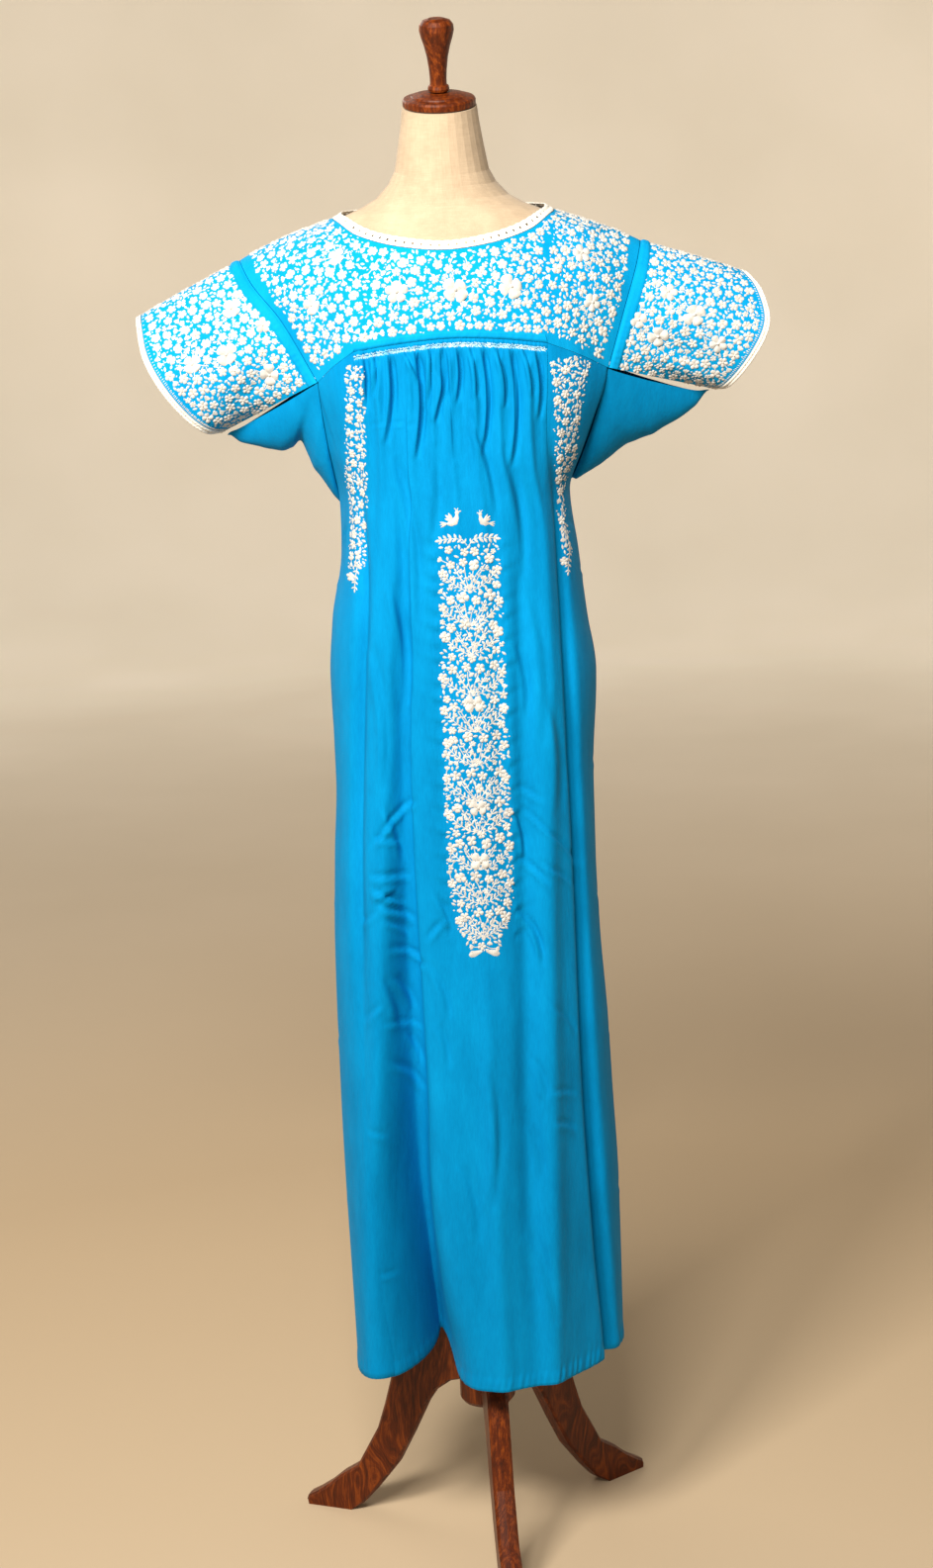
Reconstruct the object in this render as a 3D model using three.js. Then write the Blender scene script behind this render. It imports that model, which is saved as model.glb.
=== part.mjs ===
// Embroidered dress on a dress form. Millimetres, +Z up, -Y is the front of the dress.
import * as THREE from 'three';

// ---------------------------------------------------------------- driving dimensions
const SHIFT_X = -4;
const SHIFT_Y = 29.4;
const HEM_Z = 245;
const WALL = 1.6;
const TRIM_WALL = 1.2;
const TRIM_LIFT = 0.3;
const SEAM_GAP = 0.4;
const LACE_GAP = 0.6;
const SLEEVE_GAP = 0.6;
const REST_GAP = 1.6;
const CUFF_LACE_WIDTH = 7;
const SLEEVE_PUFF = 1;
const SMOCK_BAND = 9;
const EDGE_BLEND = 90;
const ALIGN_BLEND = 280;
const HUB_RADIUS = 33.5;
const HUB_BOTTOM = 168;
const HUB_TOP = 288;
const LEG_ROOT = 34.2;
const POLE_RADIUS = 14;
const BASE_BOTTOM = 900;
const FACE_GAP = 0.3;
const RAD = Math.PI / 180;

const BLUE = { color: 0x17a4da, roughness: 0.85, metalness: 0 };
const EMBROIDERED = { color: 0x8fb6c8, roughness: 0.9, metalness: 0 };
const LACE = { color: 0xe9eae6, roughness: 0.9, metalness: 0 };
const LINEN = { color: 0xd9cfb8, roughness: 0.9, metalness: 0 };
const WOOD = { color: 0x6b2a14, roughness: 0.3, metalness: 0 };

// ---------------------------------------------------------------- small helpers
const mix = (a, b, t) => a + (b - a) * t;
const clamp = (x, a, b) => Math.min(b, Math.max(a, x));
const smooth = (t) => { const c = clamp(t, 0, 1); return c * c * (3 - 2 * c); };
const add = (a, b, k = 1) => [a[0] + b[0] * k, a[1] + b[1] * k, a[2] + b[2] * k];
const sub = (a, b) => [a[0] - b[0], a[1] - b[1], a[2] - b[2]];
const lerp3 = (a, b, t) => [mix(a[0], b[0], t), mix(a[1], b[1], t), mix(a[2], b[2], t)];
const cross = (a, b) => [
  a[1] * b[2] - a[2] * b[1],
  a[2] * b[0] - a[0] * b[2],
  a[0] * b[1] - a[1] * b[0],
];
const norm = (a) => Math.hypot(a[0], a[1], a[2]);
const unit = (a) => { const l = norm(a) || 1; return [a[0] / l, a[1] / l, a[2] / l]; };

// value at x of a table [[x, value], ...], x rising or falling, eased with monotone slopes
function track(rows, x, column = 1) {
  const up = rows[rows.length - 1][0] > rows[0][0];
  const k = up ? 1 : -1;
  if (k * x <= k * rows[0][0]) return rows[0][column];
  const last = rows.length - 1;
  if (k * x >= k * rows[last][0]) return rows[last][column];
  let i = 0;
  while (k * rows[i + 1][0] < k * x) i += 1;
  const slope = (a) => (rows[a + 1][column] - rows[a][column]) / (rows[a + 1][0] - rows[a][0]);
  const tangent = (a) => {
    if (a === 0 || a === last) return 0;
    const s0 = slope(a - 1);
    const s1 = slope(a);
    if (s0 * s1 <= 0) return 0;
    return 2 * s0 * s1 / (s0 + s1);
  };
  const h = rows[i + 1][0] - rows[i][0];
  const t = (x - rows[i][0]) / h;
  const t2 = t * t;
  const t3 = t2 * t;
  return (2 * t3 - 3 * t2 + 1) * rows[i][column] + (t3 - 2 * t2 + t) * h * tangent(i)
    + (3 * t2 - 2 * t3) * rows[i + 1][column] + (t3 - t2) * h * tangent(i + 1);
}

// Catmull-Rom through rows [s, x, y, z], open or closed over period 1
function curve(rows, s, closed = false) {
  const n = rows.length;
  const at = (i) => {
    if (!closed) return rows[clamp(i, 0, n - 1)];
    const w = Math.floor(i / n);
    const r = rows[i - w * n];
    return [r[0] + w, r[1], r[2], r[3]];
  };
  let u = s;
  if (closed) u = s - Math.floor(s);
  let i = 0;
  if (closed) {
    while (i < n - 1 && rows[i + 1][0] <= u) i += 1;
    if (u < rows[0][0]) i = -1;
  } else {
    while (i < n - 2 && rows[i + 1][0] <= u) i += 1;
  }
  const p0 = at(i - 1);
  const p1 = at(i);
  const p2 = at(i + 1);
  const p3 = at(i + 2);
  const h = p2[0] - p1[0];
  const t = (u - p1[0]) / h;
  const t2 = t * t;
  const t3 = t2 * t;
  const out = [];
  for (let c = 1; c < 4; c += 1) {
    const m1 = p2[0] === p0[0] ? 0 : (p2[c] - p0[c]) / (p2[0] - p0[0]);
    const m2 = p3[0] === p1[0] ? 0 : (p3[c] - p1[c]) / (p3[0] - p1[0]);
    out.push((2 * t3 - 3 * t2 + 1) * p1[c] + (t3 - 2 * t2 + t) * h * m1
      + (3 * t2 - 2 * t3) * p2[c] + (t3 - t2) * h * m2);
  }
  return out;
}

// ---------------------------------------------------------------- bodies from points
function meshOf(name, points, faces, look) {
  let volume = 0;
  for (const [a, b, c] of faces) {
    const p = points[a];
    const q = points[b];
    const r = points[c];
    const x = cross(q, r);
    volume += p[0] * x[0] + p[1] * x[1] + p[2] * x[2];
  }
  const index = [];
  for (const [a, b, c] of faces) {
    if (volume > 0) index.push(a, b, c);
    else index.push(a, c, b);
  }
  const flat = new Float32Array(points.length * 3);
  points.forEach((p, i) => {
    flat[3 * i] = p[0] + SHIFT_X;
    flat[3 * i + 1] = p[1] + SHIFT_Y;
    flat[3 * i + 2] = p[2];
  });
  const geometry = new THREE.BufferGeometry();
  geometry.setAttribute('position', new THREE.BufferAttribute(flat, 3));
  geometry.setIndex(index);
  geometry.computeVertexNormals();
  const mesh = new THREE.Mesh(geometry, new THREE.MeshStandardMaterial(look));
  mesh.name = name;
  return mesh;
}

function quad(faces, a, b, c, d) {
  faces.push([a, b, c], [a, c, d]);
}

// thin wall under the surface f(u, v): f is the outer face, or the carrier when lift is given
function wallOf(name, f, us, vs, look, options = {}) {
  const { closed = false, lift = 0, wall = WALL, relief = null, side = 1 } = options;
  const nu = us.length;
  const nv = vs.length;
  const points = [];
  const du = 1e-3 * (us[nu - 1] - us[0]);
  const dv = 1e-3 * (vs[nv - 1] - vs[0]);
  const normals = [];
  for (let i = 0; i < nu; i += 1) {
    for (let j = 0; j < nv; j += 1) {
      const v0 = Math.max(vs[0], vs[j] - dv);
      const v1 = Math.min(vs[nv - 1], vs[j] + dv);
      const tu = sub(f(us[i] + du, vs[j]), f(us[i] - du, vs[j]));
      const tv = sub(f(us[i], v1), f(us[i], v0));
      const n = unit(cross(tu, tv));
      normals.push([-n[0] * side, -n[1] * side, -n[2] * side]);
    }
  }
  const at = (i, j) => i * nv + j;
  for (let i = 0; i < nu; i += 1) {
    for (let j = 0; j < nv; j += 1) {
      const raise = lift + (lift > 0 ? wall : 0) + (relief ? relief(i) : 0);
      points.push(add(f(us[i], vs[j]), normals[at(i, j)], raise));
    }
  }
  const count = nu * nv;
  for (let i = 0; i < nu; i += 1) {
    for (let j = 0; j < nv; j += 1) {
      points.push(add(f(us[i], vs[j]), normals[at(i, j)], lift > 0 ? lift : -wall));
    }
  }
  const faces = [];
  const spans = closed ? nu : nu - 1;
  for (let i = 0; i < spans; i += 1) {
    const k = (i + 1) % nu;
    for (let j = 0; j < nv - 1; j += 1) {
      quad(faces, at(i, j), at(k, j), at(k, j + 1), at(i, j + 1));
      faces.push([count + at(i, j), count + at(k, j + 1), count + at(k, j)]);
      faces.push([count + at(i, j), count + at(i, j + 1), count + at(k, j + 1)]);
    }
    quad(faces, at(i, 0), count + at(i, 0), count + at(k, 0), at(k, 0));
    quad(faces, at(k, nv - 1), count + at(k, nv - 1), count + at(i, nv - 1), at(i, nv - 1));
  }
  if (!closed) {
    for (let j = 0; j < nv - 1; j += 1) {
      quad(faces, at(0, j + 1), count + at(0, j + 1), count + at(0, j), at(0, j));
      quad(faces, at(nu - 1, j), count + at(nu - 1, j), count + at(nu - 1, j + 1), at(nu - 1, j + 1));
    }
  }
  return meshOf(name, points, faces, look);
}

// solid through rings of points, closed at both ends with a fan
function solidOf(name, rings, look) {
  const points = [];
  const faces = [];
  const n = rings[0].length;
  rings.forEach((ring) => ring.forEach((p) => points.push(p)));
  for (let r = 0; r < rings.length - 1; r += 1) {
    for (let i = 0; i < n; i += 1) {
      const k = (i + 1) % n;
      quad(faces, r * n + i, r * n + k, (r + 1) * n + k, (r + 1) * n + i);
    }
  }
  const fan = (offset, flip) => {
    for (let i = 1; i < n - 1; i += 1) {
      if (flip) faces.push([offset, offset + i + 1, offset + i]);
      else faces.push([offset, offset + i, offset + i + 1]);
    }
  };
  fan(0, true);
  fan((rings.length - 1) * n, false);
  return meshOf(name, points, faces, look);
}

// ---------------------------------------------------------------- the dress form's torso
// z, half width, front depth, back depth, squareness, shift forward, tilt in degrees
const TORSO = [
  [1709.4, 41.5, 41.5, 41.5, 2, -23.5, 14],
  [1692, 43.5, 44, 43, 2, -19.5, 13],
  [1668, 47.5, 48, 45, 2, -14, 10],
  [1641, 52.5, 53, 48, 2, -8, 7],
  [1627, 60, 56, 50, 2, -5, 5],
  [1612, 74, 60, 53, 2, -2, 3],
  [1602.5, 91, 63, 57, 2, 0, 1],
  [1596, 107, 66, 60, 2, 0, 0],
  [1589, 123, 68, 62, 2, 0, 0],
  [1579, 150, 71, 65, 2, 0, 0],
  [1569, 177, 74, 68, 2, 0, 0],
  [1558, 189, 80, 73, 2, 0, 0],
  [1540, 192, 92, 80, 2.1, 0, 0],
  [1512, 184, 101, 86, 2.2, 0, 0],
  [1480, 170, 107, 89, 2.2, 0, 0],
  [1440, 151, 109, 91, 2.3, 0, 0],
  [1400, 136, 111, 92, 2.3, 0, 0],
  [1330, 122, 111, 92, 2.3, 0, 0],
  [1260, 113, 100, 88, 2.3, 0, 0],
  [1180, 108, 88, 84, 2.3, 0, 0],
  [1100, 128, 98, 96, 2.3, 0, 0],
  [1020, 139, 106, 104, 2.3, 0, 0],
  [960, 138, 106, 102, 2.3, 0, 0],
  [925, 134, 102, 98, 2.3, 0, 0],
  [918, 126, 95, 91, 2.3, 0, 0],
];
const TORSO_SIDES = 32;

// row of the torso at this height, straight between the rows of the table
function torsoRow(z) {
  let i = 0;
  while (i < TORSO.length - 2 && TORSO[i + 1][0] > z) i += 1;
  const t = clamp((TORSO[i][0] - z) / (TORSO[i][0] - TORSO[i + 1][0]), 0, 1);
  return TORSO[i].map((value, c) => mix(value, TORSO[i + 1][c], t));
}

// how far outside the torso a point lies, in mm, near its surface
function clearance(p) {
  const f = (x, y, z) => {
    const [, half, front, back, n, forward] = torsoRow(z);
    const depth = y < forward ? front : back;
    return (Math.abs(x / half) ** n + Math.abs((y - forward) / depth) ** n) ** (1 / n) - 1;
  };
  const h = 0.5;
  const value = f(p[0], p[1], p[2]);
  const g = [
    (f(p[0] + h, p[1], p[2]) - f(p[0] - h, p[1], p[2])) / (2 * h),
    (f(p[0], p[1] + h, p[2]) - f(p[0], p[1] - h, p[2])) / (2 * h),
    (f(p[0], p[1], p[2] + h) - f(p[0], p[1], p[2] - h)) / (2 * h),
  ];
  const l = norm(g) || 1;
  return { far: value / l, out: g.map((x) => x / l) };
}

// cloth point moved out until it lies on the torso
function resting(p, need) {
  let q = p;
  for (let k = 0; k < 5; k += 1) {
    const { far, out } = clearance(q);
    if (far >= need) return q;
    q = add(q, out, need - far);
  }
  return q;
}

// ---------------------------------------------------------------- the cloth tube below the yoke
// z, left half width, right half width, front depth, back depth, squareness left, right, back
const SECTIONS = [
  [1500, 186, 214, 114, 94, 2.6, 2.6, 2.6],
  [1450, 174, 204, 115, 95, 2.6, 2.6, 2.6],
  [1416, 166, 198, 117, 97, 2.6, 2.6, 2.6],
  [1340, 141, 160, 121, 101, 2.5, 2.5, 2.5],
  [1280, 127, 133, 124, 105, 2.5, 2.5, 2.5],
  [1215, 131, 140, 126, 109, 2.5, 2.5, 2.5],
  [1141, 145, 148, 128, 114, 2.5, 2.5, 2.4],
  [1071, 150, 157, 130, 119, 2.5, 2.5, 2.4],
  [954, 150, 151, 133, 128, 2.6, 2.4, 2.4],
  [859, 156, 151, 136, 136, 2.8, 2.4, 2.4],
  [763, 160, 154, 138, 145, 3.0, 2.3, 2.4],
  [666, 161, 160, 141, 153, 3.1, 2.3, 2.4],
  [568, 161, 164, 143, 162, 3.2, 2.2, 2.4],
  [468, 160, 168, 145, 171, 3.3, 2.2, 2.4],
  [367, 158, 169, 147, 180, 3.4, 2.1, 2.4],
  [245, 156, 169, 149, 190, 3.5, 2.1, 2.4],
];

function sectionAt(z) {
  const s = [];
  for (let c = 1; c < 8; c += 1) s.push(track(SECTIONS, z, c));
  return s;
}

function sectionPoint(s, phi) {
  const sx = Math.sin(phi);
  const cy = Math.cos(phi);
  const half = sx < 0 ? s[0] : s[1];
  const depth = cy > 0 ? s[2] : s[3];
  const front = sx < 0 ? s[4] : s[5];
  const n = cy > 0 ? front : s[6];
  const r = (Math.abs(sx / half) ** n + Math.abs(cy / depth) ** n) ** (-1 / n);
  const x = r * sx;
  const y = -r * cy;
  const nx = Math.sign(sx) * Math.abs(x) ** (n - 1) / half ** n;
  const ny = -Math.sign(cy) * Math.abs(y) ** (n - 1) / depth ** n;
  const l = Math.hypot(nx, ny) || 1;
  return { x, y, nx: nx / l, ny: ny / l };
}

// angle of the point of the front at this x
function frontAngle(s, x) {
  const half = x < 0 ? s[0] : s[1];
  const n = x < 0 ? s[4] : s[5];
  const q = clamp(Math.abs(x) / half, 0, 0.995);
  const y = s[2] * (1 - q ** n) ** (1 / n);
  return Math.atan2(x, y);
}

// Folds. x (front) or deg (sides and back) follow the fold down, depth is inward and may be
// negative for a ridge, half is its half width, p its squareness (2 round, 3 flat bottomed).
const FOLDS = [
  { name: 'deep_left', p: 3,
    x: [[1300, -56], [1215, -58], [955, -71], [700, -74], [600, -77], [470, -84], [365, -82], [245, -77]],
    depth: [[1420, 0], [1300, 3], [1215, 8], [955, 21], [760, 37], [600, 58], [470, 84], [365, 110], [245, 136]],
    half: [[1300, 9], [955, 15], [700, 24], [470, 34], [365, 39], [245, 47]] },
  { name: 'seam_left', p: 2,
    x: [[1440, -105], [1215, -104], [1045, -116], [860, -126], [690, -128], [245, -128]],
    depth: [[1440, 0], [1300, 3], [1215, 7], [1045, 9], [860, 8], [690, 2], [600, 0]],
    half: [[1440, 7], [860, 9]] },
  { name: 'seam_right', p: 2,
    x: [[1440, 108], [1215, 118], [1140, 121], [860, 129], [620, 135], [390, 146], [245, 153]],
    depth: [[1440, 0], [1300, 4], [1215, 8], [1140, 10], [860, 14], [620, 18], [390, 24], [245, 28]],
    half: [[1440, 7], [860, 8], [245, 9]] },
  { name: 'flank_right', p: 2,
    x: [[1440, 95], [245, 124]],
    depth: [[1100, 0], [860, 2], [620, 5], [245, 9]],
    half: [[1100, 30], [245, 38]] },
  { name: 'strip_side', p: 2,
    x: [[1400, 40], [1000, 42], [700, 44]],
    depth: [[1380, 0], [1200, 3], [1000, 4], [760, 2], [600, 0]],
    half: [[1400, 9], [700, 12]] },
  { name: 'valley_right', p: 2,
    x: [[1400, 72], [1215, 71], [860, 66], [470, 60], [245, 62]],
    depth: [[1380, 0], [1215, 5], [860, 9], [470, 10], [300, 5], [245, 3]],
    half: [[1400, 10], [860, 14], [245, 17]] },
  { name: 'ridge_right', p: 2,
    x: [[1400, 100], [1215, 100], [860, 93], [470, 86], [245, 80]],
    depth: [[1380, 0], [1215, -3], [860, -5], [470, -6], [245, -5]],
    half: [[1400, 10], [860, 13], [245, 15]] },
  { name: 'ridge_low', p: 2,
    x: [[800, 16], [245, 20]],
    depth: [[800, 0], [620, -4], [400, -6], [245, -5]],
    half: [[800, 9], [245, 13]] },
  { name: 'left_lobe', p: 2,
    x: [[1000, -100], [245, -118]],
    depth: [[1000, 0], [600, -3], [400, -4], [245, 0]],
    half: [[1000, 12], [245, 16]] },
  { name: 'hollow_left', p: 2,
    x: [[1100, -24], [900, -22], [700, -18]],
    depth: [[1200, 0], [1000, 3], [860, 3], [700, 0]],
    half: [[1100, 10], [700, 12]] },
  { name: 'side_left_a', p: 2,
    deg: [[1200, -82], [600, -84], [245, -80]],
    depth: [[1150, 0], [900, 5], [600, 10], [245, 15]],
    half: [[1200, 10], [245, 16]] },
  { name: 'side_left_b', p: 2,
    deg: [[1200, -106], [245, -110]],
    depth: [[1200, 0], [1000, 4], [700, 12], [245, 22]],
    half: [[1200, 10], [245, 17]] },
  { name: 'side_right_a', p: 2,
    deg: [[1200, 86], [600, 90], [245, 92]],
    depth: [[1150, 0], [900, 4], [600, 8], [245, 14]],
    half: [[1200, 10], [245, 15]] },
  { name: 'side_right_b', p: 2,
    deg: [[1200, 112], [245, 108]],
    depth: [[1200, 0], [1000, 5], [700, 13], [245, 24]],
    half: [[1200, 9], [245, 16]] },
  { name: 'back_seam_right', p: 2,
    deg: [[1440, 134], [245, 134]],
    depth: [[1440, 0], [1250, 5], [900, 9], [500, 16], [245, 22]],
    half: [[1440, 8], [245, 11]] },
  { name: 'back_seam_left', p: 2,
    deg: [[1440, -134], [245, -136]],
    depth: [[1440, 0], [1250, 6], [900, 11], [500, 15], [245, 19]],
    half: [[1440, 8], [245, 11]] },
  { name: 'back_a', p: 2.3,
    deg: [[1400, 157], [245, 153]],
    depth: [[1300, 0], [1100, 5], [800, 18], [500, 36], [245, 52]],
    half: [[1400, 11], [800, 17], [245, 22]] },
  { name: 'back_b', p: 2,
    deg: [[1400, 185], [245, 179]],
    depth: [[1350, 0], [1150, 4], [800, 11], [500, 20], [245, 29]],
    half: [[1400, 10], [245, 17]] },
  { name: 'back_c', p: 2.3,
    deg: [[1400, -157], [245, -159]],
    depth: [[1250, 0], [1000, 6], [700, 22], [500, 34], [245, 44]],
    half: [[1400, 10], [245, 20]] },
];

// Gathers under the bands: place along the panel 0..1, height of the ridge, half width, length
const GATHERS_FRONT = [
  [0.05, 2.5, 0.018, 90],
  [0.12, 5.2, 0.024, 150],
  [0.21, -3.0, 0.018, 90],
  [0.29, 4.8, 0.021, 165],
  [0.345, -3.8, 0.014, 85],
  [0.40, 4.2, 0.019, 120],
  [0.45, -2.6, 0.013, 80],
  [0.495, 4.6, 0.020, 150],
  [0.555, -2.8, 0.015, 95],
  [0.62, 5.0, 0.022, 175],
  [0.68, -2.6, 0.015, 90],
  [0.745, 4.6, 0.021, 135],
  [0.82, -3.2, 0.017, 100],
  [0.90, 5.2, 0.023, 170],
  [0.96, -2.0, 0.014, 80],
];
const GATHERS_BACK = [
  [0.06, 3.0, 0.022, 110],
  [0.15, 5.0, 0.024, 160],
  [0.24, -3.0, 0.018, 90],
  [0.32, 5.2, 0.024, 150],
  [0.41, -2.6, 0.017, 110],
  [0.48, 4.4, 0.022, 130],
  [0.57, 5.0, 0.022, 175],
  [0.65, -3.2, 0.018, 100],
  [0.73, 4.8, 0.024, 140],
  [0.83, 4.4, 0.022, 155],
  [0.93, 3.6, 0.022, 110],
];

function gatherHeight(rows, s, drop) {
  const start = smooth((drop - SMOCK_BAND - 1) / 16);
  let h = 0;
  for (const [place, height, half, length] of rows) {
    h += height * Math.exp(-(((s - place) / half) ** 2)) * start * Math.exp(-((drop / length) ** 2));
  }
  return h;
}

// outer face of the tube
function tube(phi, z) {
  const s = sectionAt(z);
  const b = sectionPoint(s, phi);
  let d = 0;
  for (const fold of FOLDS) {
    const depth = track(fold.depth, z);
    if (depth !== 0) {
      const at = fold.x ? frontAngle(s, track(fold.x, z)) : track(fold.deg, z) * RAD;
      let turn = phi - at;
      turn -= 2 * Math.PI * Math.round(turn / (2 * Math.PI));
      if (Math.abs(turn) < 1.4) {
        const c = sectionPoint(s, at);
        const reach = Math.hypot(b.x - c.x, b.y - c.y) / track(fold.half, z);
        d += depth * Math.exp(-(reach ** fold.p));
      }
    }
  }
  return [b.x - b.nx * d, b.y - b.ny * d, z];
}

// ---------------------------------------------------------------- seams and edges
// corners: panel top (front), yoke corner, end of the notch, shoulder top
const L = {
  panel: [-104, -110, 1450], yoke: [-146, -74, 1416], notch: [-127, 0, 1269],
  yokeBack: [-146, 68, 1418], panelBack: [-104, 90, 1452],
};
const R = {
  panel: [108, -110, 1452], yoke: [176, -70, 1420], notch: [133, 0, 1289],
  yokeBack: [172, 66, 1422], panelBack: [106, 90, 1454],
};
const FRONT_BOTTOM = [
  [0, ...L.panel], [0.25, -52, -116, 1457], [0.5, 2, -118.5, 1461], [0.75, 55, -116.5, 1458.5], [1, ...R.panel],
];
const BACK_BOTTOM = [
  [0, ...R.panelBack], [0.25, 54, 97, 1459], [0.5, 1, 99, 1461], [0.75, -53, 97, 1458], [1, ...L.panelBack],
];
const SEAM_RIGHT = [
  [0, ...R.yoke], [0.25, 197, -57, 1486], [0.4, 212, -34, 1530], [0.5, 219, 0, 1556],
  [0.6, 211, 34, 1532], [0.75, 195, 55, 1488], [1, ...R.yokeBack],
];
const SEAM_LEFT = [
  [0, ...L.yokeBack], [0.25, -184, 54, 1486], [0.4, -216, 33, 1526], [0.5, -230, 0, 1550],
  [0.6, -216, -34, 1524], [0.75, -184, -57, 1484], [1, ...L.yoke],
];
const bowed = (a, m, b) => [[0, ...a], [0.5, ...m], [1, ...b]];
const SLOPE_FRONT_RIGHT = bowed(R.panel, [144, -95, 1437], R.yoke);
const SLOPE_BACK_RIGHT = bowed(R.yokeBack, [141, 82, 1439], R.panelBack);
const SLOPE_BACK_LEFT = bowed(L.panelBack, [-127, 82, 1436], L.yokeBack);
const SLOPE_FRONT_LEFT = bowed(L.yoke, [-127, -97, 1434], L.panel);
// yoke outline round the body, each stretch with its number of columns and its start on the neck ring
const YOKE_EDGE = [
  [FRONT_BOTTOM, 14, -0.085],
  [SLOPE_FRONT_RIGHT, 3, 0.085],
  [SEAM_RIGHT, 14, 0.13],
  [SLOPE_BACK_RIGHT, 3, 0.37],
  [BACK_BOTTOM, 12, 0.415],
  [SLOPE_BACK_LEFT, 3, 0.585],
  [SEAM_LEFT, 14, 0.63],
  [SLOPE_FRONT_LEFT, 3, 0.87],
];
// neck edge, middle ring of the yoke, and upper edge of the lace; place 0 is the front centre
const NECK_RING = [
  [0, 0, -95, 1555], [0.07, 54, -86, 1561], [0.13, 94, -65, 1573], [0.19, 116, -35, 1586],
  [0.25, 124, 0, 1593], [0.31, 112, 33, 1595], [0.37, 88, 53, 1595], [0.43, 53, 67, 1594],
  [0.5, 0, 72, 1593], [0.57, -53, 67, 1593], [0.63, -88, 53, 1594], [0.69, -112, 33, 1594],
  [0.75, -124, 0, 1592], [0.81, -116, -36, 1586], [0.87, -95, -65, 1573], [0.93, -55, -86, 1561],
];
const MIDDLE_RING = [
  [0, 0, -111, 1508], [0.07, 74, -106, 1509], [0.13, 136, -84, 1508], [0.19, 166, -55, 1546],
  [0.25, 181, 0, 1573], [0.31, 164, 50, 1550], [0.37, 132, 74, 1512], [0.43, 72, 91, 1512],
  [0.5, 0, 96, 1513], [0.57, -72, 91, 1512], [0.63, -128, 74, 1510], [0.69, -164, 50, 1547],
  [0.75, -184, 0, 1572], [0.81, -166, -58, 1547], [0.87, -131, -85, 1507], [0.93, -74, -105, 1508],
];
const LACE_RING = [
  [0, 0, -89.5, 1565], [0.07, 49, -80, 1571], [0.13, 87, -57, 1582], [0.19, 107, -29, 1593],
  [0.25, 114, 0, 1599.5], [0.31, 102, 30, 1601], [0.37, 80, 48, 1602], [0.43, 48, 61, 1602],
  [0.5, 0, 66, 1602], [0.57, -48, 61, 1602], [0.63, -80, 48, 1601], [0.69, -102, 30, 1600],
  [0.75, -114, 0, 1598.5], [0.81, -107, -29, 1592], [0.87, -88, -57, 1581], [0.93, -50, -80, 1571],
];

function yokeSpan(k) {
  const from = YOKE_EDGE[k][2];
  const to = k + 1 < YOKE_EDGE.length ? YOKE_EDGE[k + 1][2] : YOKE_EDGE[0][2] + 1;
  return [from, to];
}

// column w of the yoke: w = stretch number + place along it
function yokePoint(w, v) {
  const count = YOKE_EDGE.length;
  const turned = ((w % count) + count) % count;
  const k = Math.min(count - 1, Math.floor(turned));
  const s = turned - k;
  const [from, to] = yokeSpan(k);
  const place = mix(from, to, s);
  const e = curve(YOKE_EDGE[k][0], s);
  const n = curve(NECK_RING, place, true);
  const m = curve(MIDDLE_RING, place, true);
  const a = (1 - v) * (1 - 2 * v);
  const b = 4 * v * (1 - v);
  const c = v * (2 * v - 1);
  return resting([0, 1, 2].map((i) => a * n[i] + b * m[i] + c * e[i]), WALL + REST_GAP);
}

// edge of a yoke stretch moved down or out by the seam gap
function below(point, gap = SEAM_GAP) {
  return [point[0], point[1], point[2] - gap];
}

// ---------------------------------------------------------------- panels of the tube
const SEAM_X = { left: FOLDS[1].x, right: FOLDS[2].x };
const frontSeam = (side, z) => frontAngle(sectionAt(z), track(SEAM_X[side], z));
const backSeam = (side, z) => (side === 'right' ? 134 : -134) * RAD;

const NOTCH_F = 0.22;
const NOTCH_I = 0.5;
const NOTCH_B = 0.78;
const NOTCH_STEPS = 4;

function notchEdge(c, s) {
  const slopes = c === R ? [SLOPE_FRONT_RIGHT, SLOPE_BACK_RIGHT] : [SLOPE_FRONT_LEFT, SLOPE_BACK_LEFT];
  if (s <= NOTCH_F) {
    const t = s / NOTCH_F;
    return curve(slopes[0], c === R ? t : 1 - t);
  }
  if (s >= NOTCH_B) {
    const t = (s - NOTCH_B) / (1 - NOTCH_B);
    return curve(slopes[1], c === R ? t : 1 - t);
  }
  if (s <= NOTCH_I) return notchSide(c, (s - NOTCH_F) / (NOTCH_I - NOTCH_F), c.yoke);
  return notchSide(c, (NOTCH_B - s) / (NOTCH_B - NOTCH_I), c.yokeBack);
}

// line from a yoke corner down to the end of the notch, following the body
function notchSide(c, t, corner) {
  const at = (k) => {
    const p = lerp3(corner, c.notch, k);
    const bow = Math.sin(Math.PI * k);
    return [p[0] + Math.sign(c.notch[0]) * 2.4 * bow, p[1] + Math.sign(corner[1]) * 7 * bow, p[2]];
  };
  const i = clamp(Math.floor(t * NOTCH_STEPS), 0, NOTCH_STEPS - 1);
  return lerp3(at(i / NOTCH_STEPS), at((i + 1) / NOTCH_STEPS), t * NOTCH_STEPS - i);
}

// how far the hem is lifted along each panel, most where the deep fold takes it up
const HEM_RISE = {
  front: [[0, 3], [0.06, 9], [0.12, 19], [0.17, 25], [0.22, 22], [0.28, 13], [0.33, 4], [0.4, 0], [0.85, 0], [1, 5]],
  left: [[0, 3], [0.3, 0]],
  right: [[0, 5], [0.15, 9], [0.45, 0]],
  back: [[0, 0], [1, 0]],
};

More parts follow.
